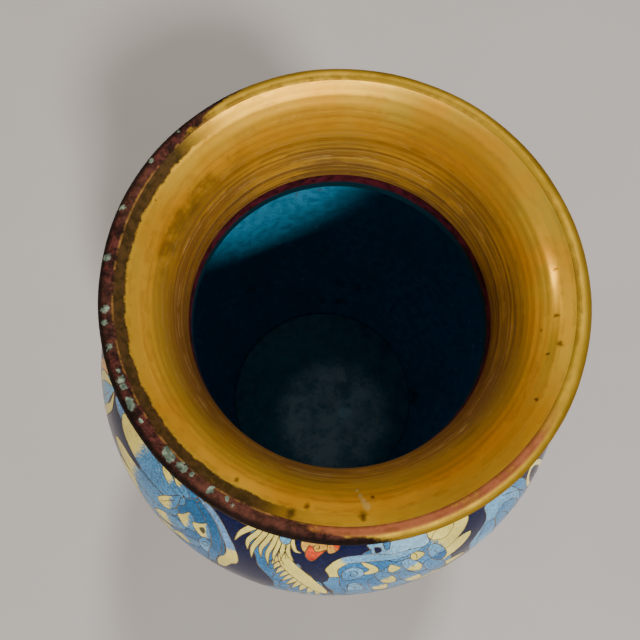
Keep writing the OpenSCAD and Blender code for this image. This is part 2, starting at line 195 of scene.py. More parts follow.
class Nodes:
    """A material's node tree, with short calls for the nodes that the finishes share. Amounts are
    numbers or node sockets, and noise scales are in repeats to a metre."""

    def __init__(self, name):
        self.material = bpy.data.materials.new(name)
        self.material.use_nodes = True
        self.tree = self.material.node_tree
        self.shader = next(n for n in self.tree.nodes if n.type == "BSDF_PRINCIPLED")
        self.place = self.add("ShaderNodeTexCoord").outputs["Object"]

    def add(self, kind, **settings):
        node = self.tree.nodes.new(kind)
        for key, value in settings.items():
            setattr(node, key, value)
        return node

    def put(self, socket, value):
        if isinstance(value, bpy.types.NodeSocket):
            self.tree.links.new(value, socket)
        else:
            socket.default_value = value

    def fill(self, node, *values):
        """The first output of a node, with its first inputs given."""
        for socket, value in zip(node.inputs, values):
            self.put(socket, value)
        return node.outputs[0]

    def set(self, **values):
        for key, value in values.items():
            self.put(self.shader.inputs[key.replace("_", " ")], value)

    def math(self, operation, *values, clamp=False):
        return self.fill(self.add("ShaderNodeMath", operation=operation, use_clamp=clamp), *values)

    def times(self, value, *others):
        for other in others:
            value = self.math("MULTIPLY", value, other)
        return value

    def plus(self, a, b):
        return self.math("ADD", a, b)

    def minus(self, a, b):
        return self.math("SUBTRACT", a, b)

    def scaled(self, value, by, offset, clamp=False):
        """value times by, plus offset."""
        return self.math("MULTIPLY_ADD", value, by, offset, clamp=clamp)

    def gap(self, a, b):
        """How far apart two amounts are."""
        return self.math("ABSOLUTE", self.minus(a, b))

    def ramp(self, value, low, high, to_low=0.0, to_high=1.0):
        """value moved smoothly from low..high to to_low..to_high."""
        node = self.add("ShaderNodeMapRange", interpolation_type="SMOOTHSTEP")
        return self.fill(node, value, low, high, to_low, to_high)

    def mix(self, factor, a, b, blend="MIX"):
        node = self.add("ShaderNodeMix", data_type="RGBA", blend_type=blend)
        self.put(node.inputs[0], factor)
        self.put(node.inputs[6], a)
        self.put(node.inputs[7], b)
        return node.outputs[2]

    def tones(self, factor, low, high):
        """A mix of two colours given as hex codes."""
        return self.mix(factor, paint(low), paint(high))

    def coat(self, colour, over, amount):
        """A colour with another, given as a hex code, laid over it."""
        return self.mix(amount, colour, paint(over))

    def dim(self, colour, level):
        """A colour times a grey level."""
        grey = self.fill(self.add("ShaderNodeCombineColor"), level, level, level)
        return self.mix(1.0, colour, grey, "MULTIPLY")

    def noise(self, scale, detail=3.0, rough=0.55, where=None, warp=0.0):
        node = self.add("ShaderNodeTexNoise")
        self.put(node.inputs["Vector"], where or self.place)
        node.inputs["Scale"].default_value = scale
        node.inputs["Detail"].default_value = detail
        node.inputs["Roughness"].default_value = rough
        node.inputs["Distortion"].default_value = warp
        return node.outputs["Fac"]

    def spots(self, scale):
        """Distance to the nearest of many scattered points."""
        node = self.add("ShaderNodeTexVoronoi")
        self.put(node.inputs["Vector"], self.place)
        node.inputs["Scale"].default_value = scale
        return node.outputs["Distance"]

    def attribute(self, name, output):
        return self.add("ShaderNodeAttribute", attribute_name=name).outputs[output]

    def bump(self, height, distance, strength=1.0, before=None):
        """Relief of a pattern, its distance in metres, on top of what comes before it."""
        node = self.add("ShaderNodeBump")
        node.inputs["Strength"].default_value = strength
        node.inputs["Distance"].default_value = distance
        self.put(node.inputs["Height"], height)
        if before:
            self.put(node.inputs["Normal"], before)
        return node.outputs["Normal"]

    def spin(self, strength):
        """Stretches highlights round the vase's axis, as on turned metal."""
        tangent = self.add("ShaderNodeTangent", direction_type="RADIAL", axis="Z")
        self.set(Anisotropic=strength, Tangent=tangent.outputs[0])

    def millimetres(self, height=1.0):
        """The shaded point in millimetres, with its height kept or set to 0."""
        node = self.add("ShaderNodeVectorMath", operation="MULTIPLY")
        return self.fill(node, self.place, (1 / MM, 1 / MM, height / MM))

    def polar(self):
        """(height, radius, degrees round) of the shaded point, in millimetres and degrees."""
        parts = self.add("ShaderNodeSeparateXYZ")
        self.fill(parts, self.millimetres())
        x, y, z = parts.outputs
        radius = self.math("SQRT", self.scaled(x, x, self.times(y, y)))
        angle = self.math("ARCTAN2", x, self.times(y, -1.0))
        return z, radius, self.times(angle, 180 / math.pi)

    def around(self, angle, middle, half, soft):
        """1 within half degrees of a place round the vase, falling to 0 over soft degrees."""
        wrapped = self.math("WRAP", self.minus(angle, middle), 180.0, -180.0)
        return self.ramp(self.math("ABSOLUTE", wrapped), half, half + soft, 1.0, 0.0)

    def marks(self, spots, ragged=0.8, soft=0.4):
        """1 inside each of some ragged marks, given as (degrees round, radius, size) in mm."""
        flat = self.millimetres(height=0.0)
        edge = self.noise(650, 3.0, 0.6)
        total = None
        for at, r, size in spots:
            a = math.radians(at - 90)
            apart = self.add("ShaderNodeVectorMath", operation="DISTANCE")
            self.fill(apart, flat, (r * math.cos(a), r * math.sin(a), 0))
            far = self.scaled(edge, 2 * ragged, apart.outputs["Value"])
            mark = self.ramp(far, size + ragged, (1 - soft) * size + ragged)
            total = mark if total is None else self.math("MAXIMUM", total, mark)
        return total


# ---------------------------------------------------------------- finishes


def enamel_finish(name, rough=0.16, grain=1.0):
    """Fired and polished enamel: two colours sanded into each other, with grain and pinholes."""
    n = Nodes(name)
    speckle = n.scaled(n.noise(260, 3.0, 0.6), 0.35, -0.55)
    speckle = n.scaled(n.noise(1300, 2.0, 0.7), 0.75, speckle)
    sanded = n.scaled(speckle, 2.4 * grain, n.attribute("blend", "Fac"))
    colour = n.mix(n.ramp(sanded, 0.2, 0.8), n.attribute("paint_a", "Color"),
                   n.attribute("paint_b", "Color"))
    brightness = n.fill(n.add("ShaderNodeRGBToBW"), colour)
    swing = n.ramp(brightness, 0.3, 0.62, 0.62, 0.2)
    grit = n.minus(n.ramp(n.noise(1200, 2.0, 0.7), 0.36, 0.64), 0.5)
    shade = n.ramp(n.noise(90, 3.0, 0.6), 0.25, 0.75, 0.8, 1.1)
    colour = n.dim(colour, n.times(shade, n.scaled(grit, swing, 0.98)))
    pits = n.times(n.ramp(n.spots(420), 0.0, 0.11, 1.0, 0.0), n.ramp(n.noise(140, 1.0), 0.56, 0.62))
    colour = n.coat(colour, "1b1712", n.times(pits, 0.75))
    n.set(Base_Color=colour, Roughness=n.ramp(n.noise(60, 3.0), 0.3, 0.7, rough, rough + 0.1))
    n.set(IOR=1.18)
    dips = n.bump(n.times(pits, -1.0), 0.0002, 0.7)
    n.set(Normal=n.bump(n.noise(170, 3.0, 0.5), 0.00012, 0.35, dips))
    return n.material


def wire_finish():
    """Thin gilt wire, ground flush and dulled along its sides."""
    n = Nodes("wire_gilt")
    worn = n.noise(160, 3.0, 0.6)
    n.set(Base_Color=n.tones(n.ramp(worn, 0.35, 0.62), "3c2e1a", "94783e"), Metallic=0.85)
    n.set(Roughness=n.ramp(worn, 0.3, 0.7, 0.48, 0.28))
    n.set(Normal=n.bump(n.noise(1800, 2.0), 0.00004, 0.4))
    return n.material


def ring_finish():
    """Broader gilt ring wires and the foot's gilding, rubbed on their high places."""
    n = Nodes("ring_gilt")
    worn = n.noise(70, 4.0, 0.65)
    colour = n.tones(n.ramp(worn, 0.38, 0.6), "7a5426", "c79a42")
    colour = n.coat(colour, "4b2a1a", n.ramp(n.noise(240, 3.0), 0.6, 0.68))
    n.set(Base_Color=colour, Metallic=0.92, Roughness=n.ramp(worn, 0.3, 0.7, 0.42, 0.25))
    n.set(Normal=n.bump(n.noise(900, 3.0), 0.00006, 0.5))
    return n.material


def stretched_noise(n, along, wander, *settings):
    """Noises drawn out into lines that lie at one distance along the metal's outline, in metres."""
    where = n.fill(n.add("ShaderNodeCombineXYZ"), along, wander)
    return [n.noise(scale, detail, rough, where) for scale, detail, rough in settings]


def gilt_finish():
    """Spun gilt copper of the funnel: tool lines, brown tarnish, painted shade in darker sectors and
    round the throat, dark spots, a stain beside the bead, and the throat's wine-red wall. Radii run from
    46 mm at the throat to 60 mm at the bead."""
    n = Nodes("funnel_gilt")
    z, radius, angle = n.polar()
    coarse, fine = stretched_noise(n, n.times(n.minus(radius, z), MM),
                                   n.times(n.noise(55, 3.0, 0.6), 0.0012),
                                   (900, 4.0, 0.75), (3800, 3.0, 0.7))
    cloud = n.noise(26, 4.0, 0.6)
    colour = n.tones(n.ramp(cloud, 0.36, 0.64), "dea022", "f2c23c")
    colour = n.coat(colour, "b98a34", n.ramp(coarse, 0.46, 0.7, 0.0, 0.3))
    colour = n.coat(colour, "9c6e2c", n.ramp(fine, 0.5, 0.66, 0.0, 0.35))

    # Tarnish in streaks towards the throat; painted shade in darker sectors on three sides, and a brown
    # ring of painted shade at the throat
    deep = n.ramp(radius, 53.5, 46.2)
    streak = n.ramp(n.scaled(coarse, 0.7, n.times(cloud, 0.5)), 0.42, 0.64)
    tarnish = n.times(n.scaled(deep, 0.95, 0.05), streak)
    colour = n.coat(colour, "86602a", tarnish)
    # Painted shade: three darker sectors round the funnel
    shaded_sectors = n.plus(n.around(angle, 134, 22, 26), n.around(angle, 47, 16, 26))
    shaded_sectors = n.scaled(n.around(angle, -72, 26, 30), 0.7, shaded_sectors, clamp=True)
    colour = n.coat(colour, "8a6024", n.times(shaded_sectors, n.ramp(cloud, 0.3, 0.6, 0.55, 1.0), 0.4))
    # Painted shade: a brown ring on the steep wall near the throat, mostly left off on the lit far side
    bright_side = n.scaled(n.around(angle, 155, 45, 50), -0.85, 1.0)
    colour = n.coat(colour, "6e451c", n.times(n.ramp(radius, 51.2, 46.3, 0.0, 0.68), bright_side))
    smoke = n.times(n.ramp(n.gap(radius, 50.5), 2.6, 0.8), n.around(angle, -114, 14, 20),
                    n.ramp(n.noise(120, 4.0, 0.7), 0.36, 0.62), 0.65)
    colour = n.coat(colour, "6c4f1e", smoke)

    # Tool lines near the throat, and a greenish cast at the back right
    colour = n.coat(colour, "e8bc78", n.times(n.ramp(fine, 0.55, 0.68), deep, 0.5))
    colour = n.coat(colour, "5c3c18", n.times(n.ramp(coarse, 0.48, 0.66), deep, 0.4))
    arc = n.times(n.ramp(n.gap(radius, 49.0), 0.35, 0.1), n.around(angle, 175, 50, 30), 0.45)
    colour = n.coat(colour, "7a4a1c", arc)
    green = n.times(n.around(angle, 125, 30, 40), n.ramp(cloud, 0.4, 0.6, 0.05, 0.4),
                    n.ramp(radius, 50, 53))
    colour = n.coat(colour, "98943a", green)

    # Single pits, a scratch, and the dark stain beside the worn side of the bead
    blots = n.marks(((-8.5, 58.2, 1.7), (-5, 56, 1.2), (8.5, 57.4, 1.6), (12, 53.4, 0.8),
                     (-23.9, 55.8, 0.8), (88, 55.6, 0.8), (80, 56.8, 1.2), (77, 55, 0.6),
                     (101, 56.2, 0.6), (84, 53, 0.6), (-110, 56.5, 0.6), (64, 56, 0.6)), 1.1, 0.9)
    colour = n.coat(colour, "4a3012", n.times(blots, 0.8))
    scratch = n.marks(((8.2, 51.6, 0.5), (8.8, 52.8, 0.7), (9.4, 54, 0.9), (10, 55.2, 1.2)), 0.3)
    colour = n.coat(colour, "d6c884", n.times(scratch, 0.55))
    edge = n.scaled(n.noise(190, 4.0, 0.7), 2.2, radius)
    band = n.times(n.ramp(edge, 57.8, 58.5), n.around(angle, -70, 52, 22),
                   n.ramp(n.noise(110, 4.0, 0.65), 0.14, 0.36))
    stain = n.tones(n.ramp(n.noise(420, 4.0, 0.75), 0.38, 0.6), "1c1610", "3a2819")
    colour = n.mix(n.times(band, 0.97), colour, stain)

    # The throat's wall, bare at the top and glazed lower down in a dark teal that is partly painted shade
    wall = n.ramp(z, THROAT_HIGH - 0.2, THROAT_HIGH - 0.5)
    bare = n.tones(n.ramp(n.noise(300, 4.0), 0.35, 0.65), "541c28", "2c0f16")
    bare = n.coat(bare, "160b0c", n.ramp(n.spots(500), 0.2, 0.1, 0.0, 0.8))
    colour = n.mix(wall, colour, bare)
    run = n.scaled(n.noise(160, 2.0), 1.2, z)
    # Partly painted shade: the glaze on the throat wall is made dark teal
    colour = n.coat(colour, "0b2a36", n.ramp(run, THROAT_HIGH - 4.7, THROAT_HIGH - 5.1))

    rough = n.times(n.ramp(fine, 0.3, 0.7, 0.38, 0.46), n.ramp(radius, 54.5, 57.5, 1.0, 1.12))
    polished = n.times(n.around(angle, 88, 8, 16), n.ramp(n.gap(radius, 55.6), 1.2, 0.4))
    rough = n.scaled(polished, -0.22, rough)
    rough = n.scaled(wall, 0.2, n.scaled(tarnish, 0.12, rough))
    metal = n.scaled(n.ramp(radius, 51.5, 46.5), -0.4, 0.62)
    metal = n.scaled(wall, -0.3, n.scaled(band, -0.6, metal, clamp=True))
    n.set(Base_Color=colour, Metallic=metal, Roughness=rough)
    n.set(Specular_Tint=n.mix(band, paint("f4bc50"), paint("54483c")))
    n.spin(0.75)
    lines = n.scaled(coarse, 0.6, n.times(fine, 0.4))
    n.set(Normal=n.bump(lines, 0.00008, 0.5, n.bump(n.noise(40, 3.0), 0.0005, 0.3)))
    return n.material


def lip_finish():
    """Gilt bead, worn on one side to red-brown copper with green specks and painted shade on its outer
    flank, rubbed pink on another.
    """
    n = Nodes("lip_gilt")
    z, radius, angle = n.polar()
    cloud = n.noise(45, 4.0, 0.6)
    patch = n.noise(150, 4.0, 0.7)
    blotch = n.noise(330, 5.0, 0.8)
    turn = n.math("ARCTAN2", n.minus(z, BEAD.y), n.minus(radius, BEAD.x))
    (lines,) = stretched_noise(n, n.times(turn, BEAD_R * MM), n.times(cloud, 0.0015),
                               (1700, 3.0, 0.7))
    colour = n.tones(n.ramp(cloud, 0.35, 0.65), "9a7a20", "ae8c2c")
    lined = n.times(n.ramp(lines, 0.5, 0.64, 0.0, 0.7), n.ramp(patch, 0.42, 0.58, 0.15, 1.0))
    colour = n.coat(colour, "6e4e1a", lined)
    rub = n.times(n.around(angle, 18, 34, 16), n.ramp(radius, 62.2, 61.2),
                  n.ramp(patch, 0.3, 0.5, 0.5, 1.0))
    colour = n.mix(rub, colour, n.tones(n.ramp(patch, 0.4, 0.6), "7e442c", "9a5c3c"))

    # The side where the gilding is gone, with the bead's outer flank there darkened as painted shade
    worn = n.plus(n.around(angle, -68, 50, 46), n.scaled(patch, 0.9, -0.45))
    worn = n.plus(worn, n.scaled(n.ramp(radius, 60.5, 63.2), 0.5, -0.25))
    worn = n.ramp(worn, 0.38, 0.62)
    dark = n.tones(n.ramp(blotch, 0.36, 0.62), "1e0f0d", "4a231e")
    rust = n.ramp(n.scaled(patch, 0.4, cloud), 0.62, 0.78)
    dark = n.coat(dark, "4e2e22", n.times(rust, 0.7))
    # Painted shade: the bead's outer flank on this side is painted near-black
    dark = n.coat(dark, "120b09", n.ramp(radius, 61.5, 63, 0.0, 0.9))
    colour = n.mix(worn, colour, dark)
    line = n.times(n.ramp(radius, 60.1, 59.8), n.ramp(patch, 0.44, 0.56, 0.0, 0.75), worn)
    colour = n.coat(colour, "86602e", line)
    specks = n.marks((
        (-104, 62.4, 1.1), (-91, 62.2, 1.2), (-78, 61.6, 1.2), (-75, 62.1, 0.9), (-69, 61.7, 1.1),
        (-63, 61, 0.7), (-60.6, 61.2, 1.2), (-59, 61.2, 1.0), (-55.4, 61.4, 1.2), (-53.8, 61.3, 1.2),
        (-50, 61.2, 0.6), (-40.8, 60.8, 1.4), (-39.2, 60.9, 1.4), (-36.4, 60.8, 1.1),
        (-35, 60.7, 1.0), (-33, 60.4, 0.7), (-27.4, 60.9, 1.0), (-23.3, 60.7, 0.6),
        (-21.5, 61.3, 0.6), (-118, 62.5, 0.8), (-128, 62.6, 0.6)), 1.3)
    green = n.tones(n.ramp(n.noise(700, 2.0), 0.4, 0.6), "56685a", "7c8a76")
    colour = n.mix(n.times(specks, 0.88), colour, green)
    seam = n.times(n.ramp(radius, 60.2, 59.8), n.ramp(patch, 0.44, 0.6, 0.0, 0.15))
    colour = n.coat(colour, "8a6428", seam)
    colour = n.mix(worn, colour, n.dim(colour, n.ramp(blotch, 0.36, 0.66, 0.45, 1.25)))

    metal = n.times(n.scaled(worn, -0.65, 0.8), n.scaled(specks, -1.0, 1.0))
    rough = n.scaled(worn, 0.16, n.ramp(patch, 0.3, 0.7, 0.58, 0.7))
    n.set(Base_Color=colour, Metallic=metal, Roughness=n.scaled(specks, 0.3, rough))
    n.set(Specular_Tint=n.mix(worn, paint("e8b04c"), paint("8c8078")))
    n.spin(0.4)
    relief = n.scaled(specks, 1.5, n.scaled(lines, 0.3, patch))
    n.set(Normal=n.bump(relief, 0.0003, 0.5))
    return n.material


def lining_finish():
    """Plain turquoise counter-enamel, mottled, smudged brown and flecked white."""
    n = Nodes("lining_turquoise")
    mottle = n.noise(220, 4.0, 0.7)
    colour = n.tones(n.ramp(mottle, 0.35, 0.65), "1e6c8c", "2f88aa")
    colour = n.coat(colour, "1d6c84", n.ramp(n.noise(34, 3.0), 0.35, 0.7, 0.0, 0.5))
    smudge = n.times(n.ramp(n.noise(60, 5.0, 0.7, warp=1.0), 0.58, 0.68),
                     n.ramp(n.noise(22, 2.0), 0.5, 0.6), 0.7)
    colour = n.coat(colour, "5a4034", smudge)
    flecks = n.times(n.ramp(n.spots(160), 0.09, 0.05), n.ramp(n.noise(50), 0.58, 0.6))
    colour = n.coat(colour, "cfdcd8", flecks)
    n.set(Base_Color=colour, Roughness=n.ramp(mottle, 0.3, 0.7, 0.38, 0.55), IOR=1.5)
    n.set(Normal=n.bump(mottle, 0.00025, 0.5))
    return n.material


def floor_finish():
    """The inside's floor: paler enamel, worn to a grey patch with a white smear."""
    n = Nodes("floor_turquoise")
    mottle = n.noise(160, 4.0, 0.7)
    colour = n.tones(n.ramp(mottle, 0.35, 0.65), "44757e", "558f96")
    worn = n.times(n.marks(((36, 13.6, 40),), 6), n.ramp(n.noise(90, 5.0, 0.75), 0.36, 0.6, 0.3, 1.0))
    colour = n.coat(colour, "e6dccf", worn)
    colour = n.coat(colour, "f2f2ec", n.marks(((60, 16, 4.5), (66, 18, 3.2))))
    n.set(Base_Color=colour, Roughness=0.55, IOR=1.5)
    n.set(Normal=n.bump(mottle, 0.0003, 0.5))
    return n.material


def copper_finish():
    """Bare copper sheet between the enamel outside and the enamel inside, browned by firing."""
    n = Nodes("sheet_copper")
    fire = n.noise(60, 4.0, 0.6)
    colour = n.tones(n.ramp(fire, 0.3, 0.7), "7a3826", "3c1a14")
    n.set(Base_Color=colour, Metallic=0.8, Roughness=n.ramp(fire, 0.3, 0.7, 0.35, 0.6))
    n.set(Normal=n.bump(n.noise(400, 3.0), 0.0001, 0.5))
    return n.material


ENAMEL = enamel_finish("enamel_bright")
GROUND = enamel_finish("enamel_ground", 0.13, 0.8)
WIRE = wire_finish()
RING = ring_finish()
GILT = gilt_finish()
LIP = lip_finish()
LINING = lining_finish()
FLOOR = floor_finish()
COPPER = copper_finish()

# ---------------------------------------------------------------- mesh helpers


def keep(name, mesh, material, slot, *nodes):
    """Puts a finished mesh in the scene, riding on the vase, in place of its CAD nodes."""
    mesh.materials.append(material)
    piece = bpy.data.objects.new(name, mesh)
    bpy.context.scene.collection.objects.link(piece)
    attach(piece, "root")
    if nodes:
        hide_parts(*nodes)


def mesh_of(name, verts, faces, sharp=None):
    """A smooth-shaded mesh, with edges over sharp degrees kept crisp."""
    mesh = bpy.data.meshes.new(name)
    mesh.from_pydata(verts, [], faces)
    mesh.update()
    mesh.shade_smooth()
    if sharp:
        mesh.set_sharp_from_angle(angle=math.radians(sharp))
    return mesh


def lathe(outline, count=240, wobble=None):
    """A closed turned mesh through (radius, height) points, in millimetres."""
    verts = []
    faces = []
    n = len(outline)
    for i in range(count):
        a = math.tau * i / count
        for r, z in outline:
            if wobble:
                r, z = wobble(r, z, a)
            verts.append((r * math.cos(a) * MM, r * math.sin(a) * MM, z * MM))
    for i in range(count):
        for j in range(n):
            k, m = (i + 1) % count, (j + 1) % n
            faces.append((i * n + j, k * n + j, k * n + m, i * n + m))
    return mesh_of("turned", verts, faces, 35)


def disc(r, low, high, rings=10, count=144, dish=0.0, rim=0.4):
    """A round plate between two heights, its top slightly dished, its edges eased."""
    steps = [i / rings for i in range(1, rings + 1)]
    outline = [(0.0, high - dish)] + [((r - rim) * t, high - dish * (1 - t * t)) for t in steps]
    outline += [(r, high - rim), (r, low)] + [(r * (1 - t), low) for t in steps]
    verts = []
    faces = []
    index = []
    for i in range(count):
        a = math.tau * i / count
        row = []
        for j, (rad, z) in enumerate(outline):
            if rad < 1e-6 and i:
                row.append(index[0][j])
                continue
            row.append(len(verts))
            verts.append((rad * math.cos(a) * MM, rad * math.sin(a) * MM, z * MM))
        index.append(row)
    for i in range(count):
        k = (i + 1) % count
        for j in range(len(outline) - 1):
            corners = [index[i][j], index[k][j], index[k][j + 1], index[i][j + 1]]
            corners = list(dict.fromkeys(corners))
            if len(corners) > 2:
                faces.append(corners)
    return mesh_of("plate", verts, faces, 35)


# ---------------------------------------------------------------- drawing outlines

K = 1.45  # millimetres to a degree round the shoulder


def between(p, q, t):
    """The point at t from p to q."""
    return tuple(a + (b - a) * t for a, b in zip(p, q))


def inside(p, outline):
    """True where a point is within an outline."""
    hit = False
    for (x1, y1), (x2, y2) in zip(outline, outline[1:] + outline[:1]):
        if (y1 > p[1]) != (y2 > p[1]) and p[0] < (x2 - x1) * (p[1] - y1) / (y2 - y1) + x1:
            hit = not hit
    return hit


def turning(points):
    """Twice the signed area of an outline."""
    return sum(p[0] * q[1] - q[0] * p[1] for p, q in zip(points, points[1:] + points[:1]))


def smooth(points, n=6, closed=True):
    """A smooth curve through points, each a tuple of two or more numbers."""
    k = len(points)
    result = []
    for i in range(k if closed else k - 1):
        if closed:
            a, b, c, d = (points[(i + m) % k] for m in (-1, 0, 1, 2))
        else:
            a, b, c, d = (points[min(max(i + m, 0), k - 1)] for m in (-1, 0, 1, 2))
        for j in range(n):
            t = j / n
            result.append(tuple(
                q + t * ((r - p) / 2 + t * (p - 2.5 * q + 2 * r - s / 2
                                            + t * (1.5 * q - p / 2 - 1.5 * r + s / 2)))
                for p, q, r, s in zip(a, b, c, d)))
    if not closed:
        result.append(tuple(points[-1]))
    return result


def stroke(points, n=5):
    """Outline of a brush stroke through (degrees, height, half width in mm) points."""
    line = smooth(points, n, closed=False)
    left = []
    right = []
    for i, (a, z, w) in enumerate(line):
        p = line[max(i - 1, 0)]
        q = line[min(i + 1, len(line) - 1)]
        dx, dz = (q[0] - p[0]) * K, q[1] - p[1]
        size = math.hypot(dx, dz) or 1
        left.append((a - dz / size * w / K, z + dx / size * w))
        right.append((a + dz / size * w / K, z - dx / size * w))
    return left + right[::-1]


def feather(root, tip, width, lean=0.0, point=0.55):
    """Outline of a feather from its root to its tip, both (degrees, height), width in mm."""
    ax, az = root[0] * K, root[1]
    dx, dz = tip[0] * K - ax, tip[1] - az
    size = math.hypot(dx, dz)
    ux, uz = dx / size, dz / size
    shape = [(0, 0.3), (0.12, 0.72), (0.4, 1.0), (0.7, 0.92), (0.9, point), (1.0, 0.0)]
    points = []
    for t, h in shape + [(t, -h) for t, h in shape[-2::-1]]:
        off = h * width / 2 + lean * size * t * (1 - t)
        points.append(((ax + ux * size * t - uz * off) / K, az + uz * size * t + ux * off))
    return smooth(points, 5)


def swung(at, z, r, a, k=K):
    """The point r mm from (at, z) at an angle, where a degree round the vase is k mm wide."""
    return at + r * math.cos(a) / k, z + r * math.sin(a)


def ring(at, z, r, k=K, n=28):
    """Outline of a circle on the vase, where a degree is k mm wide."""
    return [swung(at, z, r, math.tau * i / n, k) for i in range(n)]


def spiral(at, z, r, turns=1.6, start=0.0, flip=1):
    """A wire curl that opens out from its middle."""
    steps = int(14 * turns) + 2
    points = []
    for i in range(steps):
        t = i / (steps - 1)
        a = math.radians(start) + flip * math.tau * turns * t
        points.append(swung(at, z, r * (0.12 + 0.88 * t), a))
    return points


class Drawing:
    """Cells in painter's order on a zone of the vase, with loose wires on top of them. Each cell
    or wire belongs to the part that is named at the time."""

    def __init__(self, k=K):
        self.k = k
        self.part = "panel"
        self.cells = []
        self.lines = []

    def cell(self, outline, a, b=None, start=None, end=None, blend=0.0):
        """A cell of colour a; with start and end it passes to colour b from one to the other."""
        self.cells.append((self.part, outline, a, b or a, start, end, blend))

    def patch(self, points, *colours, **settings):
        """A cell with a smooth outline through some points."""
        self.cell(smooth(points), *colours, **settings)

    def quill(self, outline, near, far, root, tip, start, end):
        """A feather that changes colour between two parts of its length."""
        self.cell(outline, near, far, between(root, tip, start), between(root, tip, end))

    def line(self, points):
        self.lines.append((self.part, points))

    def vein(self, points, n=5):
        """A wire in a smooth curve through some points."""
        self.line(smooth(points, n, closed=False))

    def grade(self, cell, at, z):
        """How far a point of a cell is towards the cell's second colour."""
        start, end, blend = cell[4:]
        if start is None:
            return blend
        dx, dz = (end[0] - start[0]) * self.k, end[1] - start[1]
        px, pz = (at - start[0]) * self.k, z - start[1]
        return min(max((px * dx + pz * dz) / (dx * dx + dz * dz), 0.0), 1.0)


def partition(drawing, left, right, low, high, step):
    """Cuts a zone into triangles that each lie in one cell: its vertices, and (triangle, cell)."""
    k = drawing.k
    points = []
    faces = []

    def outline(shape):
        flat = [(a * k, z) for a, z in shape]
        if turning(flat) < 0:
            flat.reverse()
        faces.append(list(range(len(points), len(points) + len(flat))))
        points.extend(Vector(p) for p in flat)

    across = max(1, round((right - left) * k / step))
    up = max(1, round((high - low) / step))
    border = [(left + (right - left) * i / across, low) for i in range(across)]
    border += [(right, low + (high - low) * i / up) for i in range(up)]
    border += [(right - (right - left) * i / across, high) for i in range(across)]
    border += [(left, high - (high - low) * i / up) for i in range(up)]
    outline(border)
    for cell in drawing.cells:
        outline(cell[1])
    rows = max(1, round((high - low) / (step * 0.87)))
    for i in range(1, rows):
        z = low + (high - low) * i / rows
        start = 0.25 + 0.5 * (i % 2)
        points.extend(Vector(((left + (right - left) * (j + start) / across) * k, z))
                      for j in range(across) if j + start < across - 0.2)
    verts, _, tris, _, _, owners = delaunay_2d_cdt(points, [], faces, 1, 1e-4)
    kept = [(tri, max(own)) for tri, own in zip(tris, owners) if 0 in own]
    return [(v.x / k, v.y) for v in verts], kept


def chains(edges):
    """Joins loose edges into runs that end where more than two meet."""
    near = {}
    for a, b in edges:
        near.setdefault(a, []).append(b)
        near.setdefault(b, []).append(a)
    left = {tuple(sorted(e)) for e in edges}
    runs = []

    def walk(a, b):
        left.discard(tuple(sorted((a, b))))
        run = [a, b]
        while len(near[run[-1]]) == 2:
            onward = next((v for v in near[run[-1]] if tuple(sorted((run[-1], v))) in left), None)
            if onward is None:
                break
            left.discard(tuple(sorted((run[-1], onward))))
            run.append(onward)
        return run

    for a in sorted(near):
        if len(near[a]) != 2:
            for b in near[a]:
                if tuple(sorted((a, b))) in left:
                    runs.append(walk(a, b))
    while left:
        runs.append(walk(*min(left)))
    return runs


WIRE_HALF = 0.21
WIRE_CROWN = 0.04
WIRE_SUNK = 0.06
CROWN_HALF = 0.55  # the crown's share of the wire's width


def wire_mesh(paths):
    """Low crowned wires laid along paths of (degrees, height) points."""
    verts = []
    faces = []
    for path in paths:
        closed = len(path) > 3 and path[0] == path[-1]
        base = path[:-1] if closed else path
        if len(base) < 2:
            continue
        solid = [place(a, z) for a, z in base]
        n = len(solid)
        first = len(verts)
        for i, (p, out) in enumerate(solid):
            before = solid[(i - 1) % n][0] if closed or i else p
            after = solid[(i + 1) % n][0] if closed or i < n - 1 else p
            along = after - before
            if along.length < 1e-9:
                along = Vector((0, 0, 1))
            side = along.cross(out).normalized() * WIRE_HALF * MM
            sunk = out * WIRE_SUNK * MM
            crown = p + out * WIRE_CROWN * MM
            verts.extend((p - side - sunk, crown - side * CROWN_HALF, crown + side * CROWN_HALF,
                          p + side - sunk))
        for i in range(n if closed else n - 1):
            j = (i + 1) % n
            for m in range(3):
                a, b = first + 4 * i + m, first + 4 * j + m
                faces.append((a, a + 1, b + 1, b))
    return mesh_of("wires", verts, faces)


# The ground between the cells, in the form of a cell of a Drawing
BARE_GROUND = ("ground", None, NAVY, NAVY_FLECK, None, None, 0.12)


def enamel_mesh(drawing, verts, triangles, turn):
    """One part's triangles as a mesh with its colours, turned round the vase."""
    used = {}
    solid = []
    normals = []
    faces = []
    for tri, _ in triangles:
        face = []
        for v in tri:
            if v not in used:
                used[v] = len(solid)
                p, out = place(verts[v][0] + turn, verts[v][1])
                solid.append(p)
                normals.append(out)
            face.append(used[v])
        faces.append(face)
    mesh = mesh_of("enamel", solid, faces)
    tones = {"paint_a": [], "paint_b": [], "blend": []}
    for tri, top in triangles:
        cell = drawing.cells[top - 1] if top else BARE_GROUND
        for v in tri:
            tones["paint_a"].extend(cell[2])
            tones["paint_b"].extend(cell[3])
            tones["blend"].append(drawing.grade(cell, *verts[v]))
    for key in ("paint_a", "paint_b"):
        mesh.attributes.new(key, "FLOAT_COLOR", "CORNER").data.foreach_set("color", tones[key])
    mesh.attributes.new("blend", "FLOAT", "CORNER").data.foreach_set("value", tones["blend"])
    mesh.normals_split_custom_set_from_vertices(normals)
    return mesh


def joined(meshes):
    """Several meshes as one, with their colour attributes and normals."""
    objects = [bpy.data.objects.new("part", m) for m in meshes]
    for o in objects:
        bpy.context.scene.collection.objects.link(o)
    with bpy.context.temp_override(active_object=objects[0], selected_editable_objects=objects,
                                   selected_objects=objects):
        bpy.ops.object.join()
    mesh = objects[0].data
    bpy.data.objects.remove(objects[0])
    return mesh


